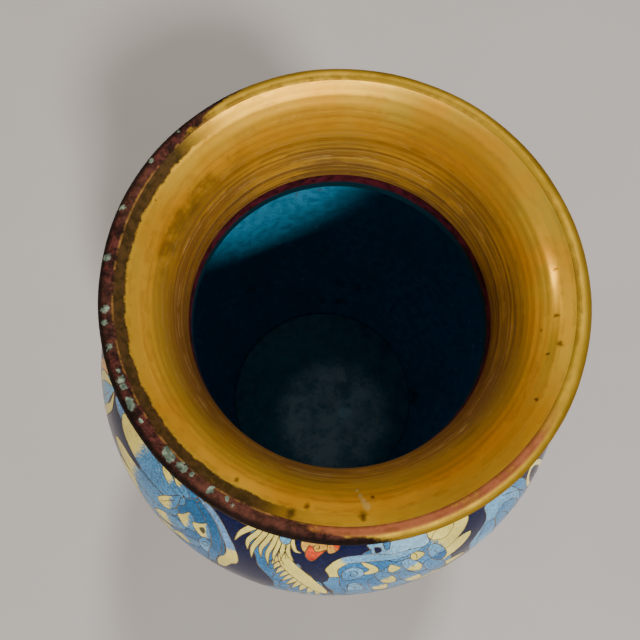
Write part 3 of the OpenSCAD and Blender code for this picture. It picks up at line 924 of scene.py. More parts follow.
class Zone:
    """A drawing laid in a zone of the vase, and turned to each of its places round it."""

    def __init__(self, drawing, turns, left, right, low, high, step):
        self.drawing = drawing
        self.turns = turns
        self.verts, kept = partition(drawing, left, right, low, high, step)
        self.groups = {}
        edges = {}
        for tri, top in kept:
            part = drawing.cells[top - 1][0] if top else "ground"
            self.groups.setdefault(part, []).append((tri, top))
            for a, b in zip(tri, (*tri[1:], tri[0])):
                edges.setdefault(tuple(sorted((a, b))), []).append((top, part))
        fences = {}
        for edge, sides in edges.items():
            if len(sides) == 2 and sides[0][0] != sides[1][0]:
                fences.setdefault(max(sides)[1], []).append(edge)
        self.paths = {}
        for part, own_edges in fences.items():
            self.paths[part] = [[self.verts[v] for v in run] for run in chains(own_edges)]
        for part, points in drawing.lines:
            self.paths.setdefault(part, []).append(points)

    def keep_part(self, part, name, material, slot, *nodes, turns=None):
        """Keeps the cells of a part, at all the zone's places or the given ones, as one piece."""
        meshes = [enamel_mesh(self.drawing, self.verts, self.groups[part], turn)
                  for turn in turns or self.turns]
        mesh = joined(meshes) if len(meshes) > 1 else meshes[0]
        keep(name, mesh, material, slot, *nodes)

    def keep_wires(self, parts, name, *nodes, turns=None):
        """Keeps the wires round and in some parts as one piece."""
        paths = [[(a + turn, z) for a, z in path] for turn in turns or self.turns
                 for part in parts for path in self.paths.get(part, [])]
        keep(name, wire_mesh(paths), WIRE, "gilt_wire", *nodes)


# ---------------------------------------------------------------- phoenix drawing

bird = Drawing()


def left_wing():
    """Raised wing that sweeps out to the left, laid from its far feathers to its near edge."""
    bird.part = "left_wing"
    back = [(-24, 168), (-22.5, 177), (-21.5, 186), (-24, 196), (-29, 202), (-36, 205.5),
            (-44, 205), (-50, 200), (-50, 188), (-48, 176), (-42, 165), (-32, 161)]
    bird.patch(back, DEEP, AZURE, (-30, 200), (-46, 176))
    quills = [
        ((-42, 203.5), (-68.5, 192.5), 6.5, STEEL, LILAC, -0.04),
        ((-36, 180), (-53, 162), 8.5, STEEL, STRAW, 0.06),
        ((-36, 184), (-57.5, 169.5), 9.0, STEEL, STRAW, 0.06),
        ((-36, 190), (-61, 179.5), 10.0, STEEL, STRAW, 0.1),
        ((-36, 197), (-63.6, 194.6), 10.5, STEEL, STRAW, 0.06),
        ((-34, 203), (-50, 203.6), 6.0, AZURE, STEEL, 0.05)]
    for root, tip, width, near, far, lean in quills:
        bird.quill(feather(root, tip, width, lean, 0.72), near, far, root, tip, 0.54, 0.7)
        for side in (-0.22, 0.02, 0.26):
            first, last = between(root, tip, 0.3), between(root, tip, 0.56 + abs(side) / 3)
            bird.line([(first[0], first[1] + side * width), (last[0], last[1] + side * width)])
    coverts = [
        ((-37, 198.6), (-46, 201.4), 3.4), ((-35.5, 200.4), (-42.5, 203.6), 3.2),
        ((-30, 176), (-40.5, 167), 6.5), ((-33, 186), (-41.5, 174.5), 7.0),
        ((-28, 181), (-35, 171.5), 6.0)]
    for root, tip, width in coverts:
        bird.quill(feather(root, tip, width, 0.05), STEEL, STRAW, root, tip, 0.42, 0.66)
        bird.line([between(root, tip, 0.3), between(root, tip, 0.9)])
    eyes = [
        ([(-37.6, 198.5), (-39.8, 194.5), (-41.6, 190.5), (-42.3, 186.6), (-40, 185.9),
          (-38, 188.3), (-37, 193)], (-39.8, 191), (-38, 192)),
        ([(-33.3, 195.6), (-34.8, 192), (-36, 189.4), (-34.6, 187.4), (-32.6, 186),
          (-30.4, 188), (-31, 192.5)], (-33.6, 190), (-32.2, 190.3)),
        ([(-27.9, 197), (-29.8, 194.4), (-31.7, 192), (-30.4, 189.4), (-28, 187.8),
          (-26.2, 190), (-26.2, 193.8)], (-28.3, 191.8), (-27.2, 192.2))]
    for points, start, end in eyes:
        bird.patch(points, STRAW, STEEL, start, end)
    bird.line([(-38.2, 194.5), (-39.4, 192), (-40.4, 189), (-41.2, 186.8)])
    bird.patch([(-28.6, 193.4), (-29.6, 191.8), (-28.4, 190.3), (-28, 191.6)], OLIVE)
    curl = smooth([(-27.6, 188.6), (-28.6, 184.5), (-27.8, 180.4), (-26, 178.6), (-24.6, 182),
                   (-25, 186.4)])
    bird.cell(curl, STEEL, SKY, (-27.5, 188), (-26, 180))
    bird.line(spiral(-26.6, 184, 2.2, 1.1, 80, -1))
    inner = stroke([(-24.2, 170, 1.2), (-24.3, 180, 1.8), (-24.1, 188, 2.0), (-25.8, 195, 2.0),
                    (-29, 199.5, 1.8), (-33, 202.3, 1.2)])
    bird.cell(inner, AZURE, DEEP, (-24, 172), (-29, 200))
    edge = smooth([(-34, 205.6), (-30, 203.9), (-26.4, 202), (-23.8, 199.4), (-21.8, 196.4),
                   (-20.2, 193.6), (-18.9, 190), (-18.2, 186), (-18.4, 182.6), (-19.4, 180.4),
                   (-20, 177), (-20.8, 172), (-22.4, 170.5), (-22.9, 176), (-22.7, 181),
                   (-21.8, 184.4), (-21.6, 188), (-22.4, 192), (-24.2, 195.8), (-26.4, 199),
                   (-29.6, 201.5), (-34, 203.6)])
    bird.cell(edge, STRAW, LILAC, (-20, 189.4), (-20.6, 192))


def right_wing():
    """Raised wing that sweeps out to the right."""
    bird.part = "right_wing"
    back = [(6, 168), (4.4, 177), (3.2, 184), (5, 191), (6, 196), (10, 200), (18, 204.5),
            (28, 205), (33, 201), (33, 190), (33, 178), (30, 166), (20, 162), (12, 164)]
    bird.patch(back, AZURE, STEEL, (12, 200), (24, 168))
    quills = [
        ((14, 172), (33, 165.5), 8.0, 0.0), ((16, 176), (37, 174.5), 8.5, -0.06),
        ((16, 182), (39.4, 190.8), 9.0, -0.16), ((16, 189), (39.9, 199.6), 9.5, -0.16),
        ((18, 196), (36.5, 204.8), 8.0, -0.12)]
    for root, tip, width, lean in quills:
        bird.quill(feather(root, tip, width, lean, 0.62), STEEL, STRAW, root, tip, 0.52, 0.68)
        bird.line([between(root, tip, 0.26), between(root, tip, 0.55)])
    bird.patch([(27.4, 204), (28.2, 200.5), (29.6, 197.8), (32.4, 196.4), (34.4, 198), (35.6, 200.6),
                (33.5, 204)], STRAW, CREAM, blend=0.2)
    bird.line([(28, 197.6), (29.2, 199.6), (30, 201), (31.4, 201.8), (32.5, 203)])
    top = smooth([(12.8, 205), (13.3, 202), (14.3, 199.6), (20, 197.2), (27.5, 197.4),
                  (28.2, 200.4), (27, 204.4), (20, 206)])
    bird.cell(top, SKY, PALE, (14, 199), (22, 205))
    bird.patch([(14.4, 202.8), (14.6, 200.5), (16, 200.9), (15.7, 202.3)], NAVY, NAVY_FLECK, blend=0.1)
    bird.patch([(16.7, 205), (16.9, 201.6), (17.9, 200.7), (18.4, 203), (18.3, 205)], STEEL, AZURE,
               blend=0.4)
    coverts = [
        ((9, 184), (10.5, 170), 5.4, SKY, STEEL), ((13.5, 186), (16.5, 169), 5.6, AZURE, STRAW),
        ((20.5, 186), (25.2, 168), 5.6, STEEL, STRAW), ((27, 188), (31, 170), 6.0, STEEL, AZURE),
        ((14.8, 190), (18.8, 177.6), 5.0, STEEL, STRAW), ((21.4, 193.5), (25.2, 182.6), 5.0, SKY, STRAW),
        ((28.6, 196), (31, 183), 5.6, SKY, DEEP)]
    for root, tip, width, near, far in coverts:
        bird.quill(feather(root, tip, width, 0.06), near, far, root, tip, 0.42, 0.62)
        bird.line([between(root, tip, 0.25), between(root, tip, 0.6)])
    petals = [
        [(11, 197.2), (13.4, 195.4), (15, 192.6), (14.8, 190.4), (12.6, 189.7), (10.9, 190.6),
         (12.3, 191.8), (12.8, 193), (11.6, 195)],
        [(18, 193.2), (19.6, 191.2), (20.5, 189.2), (18.4, 187.8), (17.3, 190)],
        [(23.8, 196.4), (25.9, 194.9), (26.6, 192.7), (24.3, 191.2), (23, 193.6)]]
    for points in petals:
        bird.patch(points, STRAW, CREAM, blend=0.2)
    bird.line([(23.8, 196), (24.6, 194.2), (24.6, 192)])
    bird.patch([(6.6, 192.6), (8.6, 194.8), (11, 193.6), (11.6, 190.4), (10, 187.6), (7.6, 186.8),
                (6.4, 189)], STEEL, SKY, (7, 188), (11, 193))
    bird.line(spiral(8.9, 190.8, 2.2, 1.2, 60))
    bird.line(spiral(9.8, 180.6, 2.8, 1.3, 100))
    band = smooth([(18.8, 198.4), (15, 199.9), (11, 200.5), (7.2, 200.2), (4.9, 198.9),
                   (3.4, 196.8), (2.3, 193.8), (3, 191.6), (3.4, 189), (3.1, 186.6), (2.2, 184.6),
                   (3.4, 180), (4.8, 176), (6.4, 170), (8, 172), (7, 178), (6, 184), (5.8, 189),
                   (5.3, 193.4), (6.6, 196), (8.8, 197.2), (14, 196.9), (20, 195.4), (26, 196.6),
                   (24, 198)])
    bird.cell(band, STRAW, SKY, (6.4, 195.4), (8.2, 197))
    bird.patch([(3.4, 188.8), (3.1, 186.6), (2.2, 184.6), (3.4, 180), (4.8, 176), (6.4, 170), (8, 172),
                (7, 178), (6, 184), (5.8, 188.8), (4.6, 189.4)], STEEL, AZURE, (4.5, 188), (6, 172))


def neck_and_head():
    """Neck in an S, its mane and breast fringe, then the face, wattle, comb and beak."""
    bird.part = "bird_neck"
    neck = [(3.6, 170), (2.8, 178), (1.8, 184.4), (-0.4, 187), (-0.9, 189.4), (-3.4, 192.4),
            (-6, 194.4), (-7.6, 198), (-6.6, 203), (-7, 208), (-10.5, 210.4), (-15, 208.6),
            (-17.4, 204), (-17, 199), (-14.8, 194), (-13.6, 189), (-11.2, 184), (-9.3, 179),
            (-7.5, 170)]
    bird.patch(neck, AZURE, STEEL, (-12, 192), (-3, 192))
    for row in range(5):
        for i in range(3):
            at = -9.4 + 2.6 * i + 0.9 * row + (0.9 if row % 2 else 0)
            z = 191 - 4.2 * row
            bird.cell(feather((at, z + 4), (at - 1.2, z - 2.2), 3.4, 0, 0.8), STEEL, AZURE, (at, z + 3),
                      (at - 1, z - 1))
    fringe = [
        [(-8.2, 197.6, 1.2), (-9.8, 194.6, 0.9), (-10.4, 191.8, 0.1)],
        [(-7.4, 195.4, 1.2), (-9.2, 192, 0.9), (-9.6, 189, 0.1)],
        [(-6.4, 193.4, 1.2), (-8.2, 189.6, 0.9), (-8.9, 186.6, 0.1)],
        [(-5.2, 191.6, 1.2), (-7, 187.6, 0.9), (-8, 184.2, 0.1)],
        [(-4.2, 189.8, 1.2), (-6, 185.4, 0.9), (-7.2, 181.4, 0.1)],
        [(-3.2, 188, 1.3), (-4.8, 183, 1.0), (-6.2, 178.4, 0.1)],
        [(-2.2, 186, 1.4), (-3.6, 180.6, 1.1), (-4.6, 175.2, 0.1)],
        [(-1.2, 184, 1.4), (-2.2, 178, 1.2), (-2.8, 172, 0.1)],
        [(0.2, 181.6, 1.5), (-0.4, 175, 1.2), (-0.8, 169, 0.1)],
        [(1.6, 178, 1.4), (1.4, 172, 1.1), (1.4, 166.5, 0.1)]]
    spine = stroke([(-8.6, 204, 1.4), (-8.4, 198.8, 1.9), (-6.9, 194.4, 2.5), (-4.8, 190.9, 2.8),
                    (-2.8, 187.6, 2.9), (-1.2, 184.2, 2.8), (0.5, 180.2, 2.6), (2.1, 175, 2.0),
                    (3.3, 170.5, 0.6)])
    for points in fringe:
        bird.cell(stroke(points), STRAW, CREAM, blend=0.15)
    bird.cell(spine, STRAW, CREAM, blend=0.1)
    bird.line([(-9.4, 199.6), (-8.6, 196), (-7.6, 193.6)])
    bird.line([(-7.8, 203), (-8, 199.4), (-7.4, 196.6)])
    mane = [
        [(-16.6, 205.6, 1.0), (-20, 205.2, 0.8), (-25.5, 204.7, 0.45), (-32, 203.6, 0.1)],
        [(-15.4, 207, 1.2), (-17.8, 204.4, 1.2), (-19.8, 201, 1.0), (-20.6, 196.6, 0.1)],
        [(-14, 207, 1.2), (-16, 203, 1.1), (-17.4, 199.2, 1.0), (-16.9, 195.2, 0.1)],
        [(-12.9, 207.4, 1.1), (-14.6, 202.4, 1.1), (-15.8, 197, 0.9), (-15.4, 191.6, 0.1)],
        [(-11.7, 207.4, 1.1), (-13, 202, 1.0), (-13.9, 198, 0.8), (-13.2, 193.8, 0.1)],
        [(-10.6, 207.4, 1.0), (-11.3, 201.6, 1.0), (-12, 196.4, 0.8), (-11, 190.4, 0.1)],
        [(-9.6, 206.8, 0.9), (-10, 201, 0.9), (-10.4, 197, 0.7), (-10, 193.6, 0.1)],
        [(-8.6, 206, 0.9), (-8.6, 201, 1.0), (-8.9, 197.6, 0.8), (-8.8, 194, 0.1)],
        [(-7.6, 205.6, 0.9), (-7.5, 201.2, 0.9), (-6.6, 198.2, 0.7), (-5.5, 196.4, 0.1)],
        [(-6.9, 206, 0.8), (-6.3, 203, 0.8), (-5.4, 201, 0.6), (-4, 200.6, 0.1)]]
    for points in mane:
        bird.cell(stroke(points), STRAW, CREAM, blend=0.2)
    bird.patch([(-10.2, 206), (-9.8, 203.6), (-8.2, 202.6), (-7.1, 204), (-7.4, 206.4)], SKY, STEEL,
               blend=0.3)
    bird.part = "bird_head"
    comb = [[(-4.5, 209.6, 1.3), (-7.5, 211.4, 1.1), (-12, 211.9, 0.1)],
            [(-3, 210.4, 1.3), (-5, 212.1, 0.9), (-8.6, 212.8, 0.1)],
            [(-0.6, 210.6, 1.2), (-1.6, 212.2, 0.8), (-4, 213, 0.1)]]
    for points in comb:
        bird.cell(stroke(points), CORAL, ORANGE, blend=0.25)
    face = [(-4.5, 206), (-4.3, 203), (-2.9, 200.9), (-0.6, 200.4), (2.2, 203), (3, 206),
            (2.8, 209.4), (0, 211.2), (-3, 210.6), (-4.6, 208.6)]
    bird.patch(face, AMBER, STRAW, blend=0.2)
    cheek = [(2.4, 206.4), (2.3, 203.6), (2.7, 201.7), (4.2, 202), (5.4, 203.8), (5.2, 206.2),
             (3.8, 207)]
    bird.patch(cheek, AMBER, CORAL, (3, 203), (5, 205.5))
    bird.patch([(2.6, 209.2), (5.4, 209), (8.4, 207.4), (9.8, 205.4), (7, 206), (3, 206.4)], AMBER, CREAM,
               (3, 208), (8, 207))
    bird.cell(ring(1.2, 207.8, 1.5), CREAM)
    bird.cell(ring(1.4, 207.8, 0.7), NAVY)
    bird.line(spiral(-0.2, 203.4, 1.7, 1.2, 200, 1))
    bird.part = "wattle"
    wattle = [(-2.9, 202), (-2.9, 199.8), (-1.7, 197.8), (-0.6, 198.2), (0.4, 200), (2.1, 202.9),
              (0.8, 202.2), (-0.6, 202), (-1.3, 203.6), (-2.2, 204)]
    bird.patch(wattle, CORAL, WINE, (-1, 202), (-1.4, 195))


def breast():
    """Body below the wings, covered in rows of scale feathers."""
    bird.part = "bird_body"
    outline = [(-7.5, 171), (3, 171), (8, 167), (17, 161.5), (27, 159), (31.5, 151), (30, 139),
               (22, 129), (8, 125), (-5, 132), (-12, 146), (-12, 161)]
    bird.patch(outline, STEEL, AZURE, (0, 168), (20, 132))
    for row in range(8):
        z = 133 + 4.6 * row
        for i in range(9):
            at = -11 + 4.6 * i + (2.3 if row % 2 else 0) - 0.5 * (7 - row)
            if not inside((at, z - 1), outline) or not inside((at, z + 4), outline):
                continue
            warm = row > 4 and i < 4
            bird.cell(feather((at + 0.4, z + 4.5), (at, z - 2.4), 6.0, 0, 0.85),
                      SKY if (row + i) % 2 else STEEL, STRAW if warm else PALE, (at, z + 1), (at, z - 2))
            bird.line([(at + 0.3, z + 2.6), (at, z - 0.6)])


def plume(line, widths, colours, eye, barbs=9):
    """A long tail plume along a line of (degrees, height), with barbs and an eye at its tip."""
    bird.part = "tail_plumes"
    points = [(a, z, w) for (a, z), w in zip(line, widths)]
    path = smooth(points, 6, closed=False)
    for i in range(1, barbs):
        t = i / barbs
        k = int(t * (len(path) - 2))
        (a, z, w), (a1, z1, _) = path[k], path[k + 1]
        ux, uz = (a1 - a) * K, z1 - z
        size = math.hypot(ux, uz)
        ux, uz = ux / size, uz / size
        for side in (-1, 1):
            tip = (a + (ux * 3.6 - side * uz * (w + 3.6)) / K, z + uz * 3.6 + side * ux * (w + 3.6))
            barb = feather((a, z), tip, 4.4, 0.1 * side)
            bird.quill(barb, *colours[1:], (a, z), tip, 0.4, 0.85)
    bird.cell(stroke(points, 6), colours[0], colours[1], line[0], line[-1])
    bird.line([(a, z) for a, z, _ in path[2:-3:2]])
    at, z, r = eye
    bird.cell(ring(at, z, r), STRAW, CREAM, blend=0.2)
    bird.cell(ring(at, z, r * 0.74), AZURE, DEEP, blend=0.3)
    bird.cell(ring(at, z, r * 0.45), CORAL, ORANGE, blend=0.2)
    bird.cell(ring(at, z, r * 0.2), NAVY)


def tail():
    """Tail plumes: one up each side past the wings, and three with eyes round the belly."""
    bird.part = "tail_plumes"
    bird.patch([(33, 146), (38, 157), (38.6, 170), (38.4, 180), (40.6, 185), (43.4, 189), (44.4, 193),
                (45, 197.6), (50, 196.6), (54.5, 193.8), (58, 190), (58.4, 178), (57, 164), (52, 148),
                (44, 135), (34, 132)], SKY, STEEL, (47, 196), (47, 160))
    bird.patch([(54, 194), (57.8, 190), (58.3, 178), (57, 164), (52, 148), (53.6, 164), (55, 176),
                (55.4, 186)], STEEL, AZURE, (56, 190), (55, 160))
    bird.patch([(46.6, 184), (47.4, 187.6), (49.6, 189.5), (51.8, 187.4), (53.6, 183), (54.3, 176),
                (52.5, 160), (46, 146), (42, 144), (45.6, 160), (46.4, 172)],
               STEEL, AZURE, (49, 189), (50, 165))
    bird.vein([(50.4, 194), (52.6, 191.4), (54.8, 187.4), (56.3, 182), (57, 174), (55.6, 160)])
    bird.vein([(49, 184), (50.6, 176), (49, 162), (44, 148)])
    bird.patch([(41.6, 183.6), (43.6, 187.6), (46, 186), (46.2, 180), (44.6, 168), (40.6, 160),
                (40.4, 172)], STEEL, SKY, (43, 186), (43, 166))
    hook = stroke([(27, 121, 1.0), (42, 124, 2.6), (54, 136, 3.0), (61.5, 152, 3.0),
                   (64.8, 168, 2.4), (64.8, 178, 1.3), (63.6, 185, 1.2), (61.4, 187.9, 1.2),
                   (59.4, 185.6, 1.1), (58.8, 180, 1.1), (59.6, 174, 0.9)])
    bird.cell(hook, CREAM, STRAW, (62, 186), (55, 138))
    bird.vein([(62.5, 176), (62.7, 180), (61.8, 182.8), (60.9, 180.4), (61.5, 178)])
    side = stroke([(-4, 141, 2.8), (-15, 139.5, 3.6), (-30, 141, 4.2), (-48, 143, 5.0), (-62, 150, 6.2),
                   (-71, 163, 8.0), (-74, 177, 8.2), (-73, 186, 6.0), (-70.6, 192.6, 1.0)])
    bird.cell(side, SKY, STEEL, (-72, 190), (-40, 143))
    streaks = [
        ([(-58, 146, 0.4), (-65, 154, 1.6), (-68.6, 166, 1.9), (-68.2, 178, 1.8),
          (-67.6, 186, 1.4), (-69.8, 192, 0.2)], STRAW, CREAM, 0.2),
        ([(-64, 157, 0.4), (-73.4, 168, 1.6), (-76.4, 178, 1.9), (-74.8, 186, 1.5),
          (-71.6, 191.5, 0.2)], STRAW, CREAM, 0.3),
        ([(-70, 160, 0.4), (-77.6, 168, 1.6), (-79.6, 178, 1.8), (-77, 187, 1.4),
          (-73, 192, 0.2)], AMBER, ORANGE, 0.3)]
    for points, near, far, blend in streaks:
        bird.cell(stroke(points), near, far, blend=blend)
    bird.vein([(-40, 142), (-56, 148), (-68, 160), (-71.4, 174), (-71, 186)], 6)
    plume([(8, 128), (18, 112), (18, 94), (6, 80), (-10, 74), (-26, 74)],
          [3.6, 3.4, 3.2, 3.0, 2.6, 1.0], (STEEL, SKY, STRAW), (-31, 75.5, 7.0))
    plume([(-6, 134), (-22, 126), (-38, 122), (-52, 124), (-62, 131)],
          [2.6, 2.8, 2.6, 2.2, 1.0], (AZURE, STEEL, STRAW), (-67, 134.5, 6.0), 7)
    plume([(20, 130), (34, 112), (48, 104), (62, 108), (70, 120)],
          [3.2, 3.0, 2.6, 2.2, 1.0], (STEEL, SKY, STRAW), (74, 127, 6.2), 8)


def peony(at, z, r):
    """A peony of three rings of petals round a seeded middle, with three leaves behind."""
    bird.part = "leaves"
    for aim in (-140, -90, -40):
        a = math.radians(aim)
        c, s = math.cos(a), math.sin(a)
        root = swung(at, z, r + 0.5, a)
        tip = swung(at, z, r + 15, a)
        bird.cell(feather(root, tip, 8.5, 0.08, 0.4), LEAF, MOSS, root, tip)
        bird.line([between(root, tip, 0.1), between(root, tip, 0.85)])
        for t in (0.3, 0.5, 0.68):
            mid = between(root, tip, t)
            for side in (-1, 1):
                end = (mid[0] + (1.6 * c - side * 2.4 * s) / K, mid[1] + 1.6 * s + side * 2.4 * c)
                bird.line([mid, end])
    bird.part = "peonies"
    for count, reach, size, near, far, turn in (
            (8, 1.0, 0.78, BLUSH, ROSE, 0), (7, 0.72, 0.66, ROSE, CORAL, 20),
            (5, 0.45, 0.5, CORAL, WINE, 50)):
        for i in range(count):
            a = math.radians(turn + TURN * i / count)
            root = swung(at, z, 0.12 * r, a)
            tip = swung(at, z, reach * r, a)
            bird.quill(feather(root, tip, size * r, 0, 1.0), far, near, root, tip, 0.45, 0.98)
    bird.cell(ring(at, z, 0.2 * r), AMBER, STRAW, blend=0.4)
    bird.cell(ring(at, z, 0.09 * r), WINE)


def cloud(at, z, r, flip=1):
    """A small scrolled cloud of three lobes with a trailing wisp."""
    bird.part = "clouds"
    wisp = stroke([(at, z - 0.6 * r, 0.9), (at + flip * 1.6 * r / K, z - 0.9 * r, 0.8),
                   (at + flip * 3.4 * r / K, z - 0.3 * r, 0.1)])
    bird.cell(wisp, WHITE, SKY, blend=0.3)
    for dx, dz, size in ((-0.9, -0.2, 0.7), (0.9, -0.2, 0.7), (0, 0.5, 0.9)):
        bird.cell(ring(at + dx * r / K, z + dz * r, size * r), SKY, WHITE, (at, z - r), (at, z + r))
        bird.line(spiral(at + dx * r / K, z + dz * r, size * r * 0.6, 1.1, 90, flip))


tail()
breast()
left_wing()
right_wing()
neck_and_head()
for spot in ((85, 172, 14.5), (80, 108, 17), (-52, 104, 15), (40, 76, 16)):
    peony(*spot)
for spot in ((-8, 104, 4.2, 1), (-72, 64, 4.0, -1), (8, 50, 3.8, 1), (76, 60, 3.8, -1),
             (92, 142, 3.6, 1), (-40, 48, 3.6, -1)):
    cloud(*spot)

# The field's drawing fills half a turn from its left end. What passes its right end is drawn
# again half a turn back, where the other bird's copy needs it.
HALF_TURN = TURN // 2
LEFT_END = -82.0
RIGHT_END = LEFT_END + HALF_TURN


def turned_back(point):
    return point and (point[0] - HALF_TURN, point[1])


for part, outline, a, b, start, end, blend in list(bird.cells):
    if max(p[0] for p in outline) > RIGHT_END:
        moved = [turned_back(p) for p in outline]
        bird.cells.append((part, moved, a, b, turned_back(start), turned_back(end), blend))

# Stations of the ring wires, and of the hidden ends of the neck's back and the lining
SHOULDER_RING = (2.96, 3.08)
NECK_RING = (4.22, 4.26)
LIP_RING = (4.96, 4.995)
NECK_BACK = (4.12, 4.99)
LINING_TOP = 3.3

field = Zone(bird, (0, HALF_TURN), LEFT_END, RIGHT_END, FIELD_LO + RING_WIRE,
             glaze(SHOULDER_RING[0]).y, 1.7)
BIRD_SLOTS = {
    "left_wing": "blue_enamel", "right_wing": "blue_enamel", "bird_neck": "yellow_enamel",
    "bird_head": "orange_enamel", "wattle": "red_enamel", "bird_body": "blue_enamel",
    "tail_plumes": "blue_enamel"}
for prefix, turn in (("front_", 0), ("back_", HALF_TURN)):
    for part, slot in BIRD_SLOTS.items():
        field.keep_part(part, prefix + part + "_cells", ENAMEL, slot, prefix + part, turns=[turn])
    field.keep_wires(BIRD_SLOTS, prefix + "phoenix_fence", prefix + "phoenix_wires", turns=[turn])
field.keep_part("ground", "field_ground", GROUND, "navy_enamel", "field_enamel")
field.keep_part("peonies", "peonies_cells", ENAMEL, "rose_enamel", "peonies")
field.keep_part("leaves", "leaves_cells", ENAMEL, "green_enamel", "leaves")
field.keep_part("clouds", "cloud_cells", ENAMEL, "blue_enamel")
field.keep_wires(("peonies", "leaves", "clouds", "ground"), "flower_fence", "flower_wires")

# ---------------------------------------------------------------- borders

# Millimetres to a degree round the foot's border, the neck and the collar
FOOT_K = 1.06
NECK_K = 0.9
COLLAR_K = 0.87


def border(count, low, high, drawing, draw):
    """One repeat of a border, laid count times round the vase."""
    width = TURN / count
    draw(drawing, width)
    return Zone(drawing, [width * i for i in range(count)], -width / 2, width / 2, low, high, 1.6)


def pointed(low, high, half, k):
    """Outline of a panel with straight sides and a pointed end, centred on 0 degrees."""
    rise = high - low
    return smooth([(-half / k, low), (half / k, low), (half / k, low + 0.55 * rise),
                   (0.35 * half / k, low + 0.86 * rise), (0, high),
                   (-0.35 * half / k, low + 0.86 * rise), (-half / k, low + 0.55 * rise)], 5)


def foot_panel(d, width):
    """Upright pointed panels in three colours, with a berry between each two."""
    d.cell(pointed(17.5, 30.5, 6.2, d.k), SKY, STEEL, (0, 18), (0, 30))
    d.cell(pointed(18.8, 27.4, 3.9, d.k), STRAW, CREAM, blend=0.2)
    d.cell(pointed(20, 24.6, 2.1, d.k), CORAL, WINE, (0, 20), (0, 25))
    for side in (1, -1):
        d.cell(ring(side * (width / 2 - 0.01), 27.6, 1.5, d.k), CORAL, ORANGE, blend=0.2)


def neck_panel(d, width):
    """Hanging pointed panels in three colours, with a berry between each two."""
    d.cell(pointed(244.5, 228.5, 6.4, d.k), TEAL, SKY, (0, 243), (0, 230))
    d.cell(pointed(243, 232.5, 4.0, d.k), STRAW, CREAM, blend=0.2)
    d.cell(pointed(241.6, 236, 2.2, d.k), CORAL, WINE, (0, 241), (0, 236))
    for side in (1, -1):
        d.cell(ring(side * (width / 2 - 0.01), 232, 1.4, d.k), AMBER, ORANGE, blend=0.2)


COLLAR_LOW = glaze(SHOULDER_RING[1]).y
COLLAR_HIGH = glaze(NECK_RING[0]).y


def floret(d, width):
    """A five-petalled flower on red."""
    half = width / 2
    middle = (COLLAR_LOW + COLLAR_HIGH) / 2 + 0.6
    d.cell([(-half, COLLAR_LOW), (half, COLLAR_LOW), (half, COLLAR_HIGH), (-half, COLLAR_HIGH)],
           CORAL, WINE, blend=0.35)
    for i in range(5):
        a = math.radians(90 + 72 * i)
        d.cell(ring(*swung(0, middle, 1.9, a, d.k), 1.25, d.k, 14), CREAM, STRAW, blend=0.2)
    d.cell(ring(0, middle, 1.1, d.k, 14), AZURE, DEEP, blend=0.3)


foot_zone = border(20, FOOT_TOP + RING_WIRE, FIELD_LO, Drawing(FOOT_K), foot_panel)
neck_zone = border(14, glaze(NECK_RING[1]).y, glaze(LIP_RING[0]).y, Drawing(NECK_K), neck_panel)
collar_zone = border(18, COLLAR_LOW, COLLAR_HIGH, Drawing(COLLAR_K), floret)
for zone, name, slot in ((foot_zone, "foot", "blue_enamel"), (neck_zone, "neck", "teal_enamel")):
    zone.keep_part("ground", name + "_border_ground", GROUND, "navy_enamel", name + "_enamel")
    zone.keep_part("panel", name + "_border_panels", ENAMEL, slot, name + "_panel_enamel")
    zone.keep_wires(zone.paths, name + "_border_fence", name + "_panel_wires")
collar_zone.keep_part("panel", "collar_band", ENAMEL, "red_enamel", "collar_enamel")
collar_zone.keep_wires(collar_zone.paths, "collar_fence")

# ---------------------------------------------------------------- turned metal and linings


def zone_ring(name, node, s0, s1, proud=0.22):
    """A rounded ring wire between two stations, standing a little proud of the enamel."""
    steps = 8
    outline = [tuple(skin(s0 + (s1 - s0) * i / steps, -proud * math.sin(math.pi * i / steps)))
               for i in range(steps + 1)]
    outline += [tuple(skin(s1, ENAMEL_T)), tuple(skin(s0, ENAMEL_T))]
    keep(name, lathe(outline, 288), RING, "gilt_wire", node)


def low_station(z):
    """Station of a height on the lower half of the body."""
    return (z - FOOT_TOP) / (BELLY_Z - FOOT_TOP)


zone_ring("foot_ring_wire", "foot_wire", 0.0, low_station(FOOT_TOP + RING_WIRE))
zone_ring("field_ring_wire", "field_wire", low_station(FIELD_LO), low_station(FIELD_LO + RING_WIRE))
zone_ring("shoulder_ring_wire", "shoulder_wire", *SHOULDER_RING)
zone_ring("neck_ring_wire", "neck_wire", *NECK_RING)
zone_ring("lip_ring_wire", "lip_wire", *LIP_RING)


def lip():
    """The rolled bead, slightly uneven from handling except where it meets the funnel."""
    steps = 40
    angles = [math.tau * i / steps for i in range(steps)]
    outline = [(BEAD.x + BEAD_R * math.cos(a), BEAD.y + BEAD_R * math.sin(a)) for a in angles]

    def wobble(r, z, a):
        out = (r - BEAD.x) / BEAD_R
        up = (z - BEAD.y) / BEAD_R
        dent = 0.05 * (math.sin(7 * a + 1.0) + 0.6 * math.sin(17 * a + 2.0)) - 0.03
        dent *= min(max(2 * out + 1.1, 0), 1)
        return r + out * dent, z + up * dent

    return lathe(outline, 360, wobble)


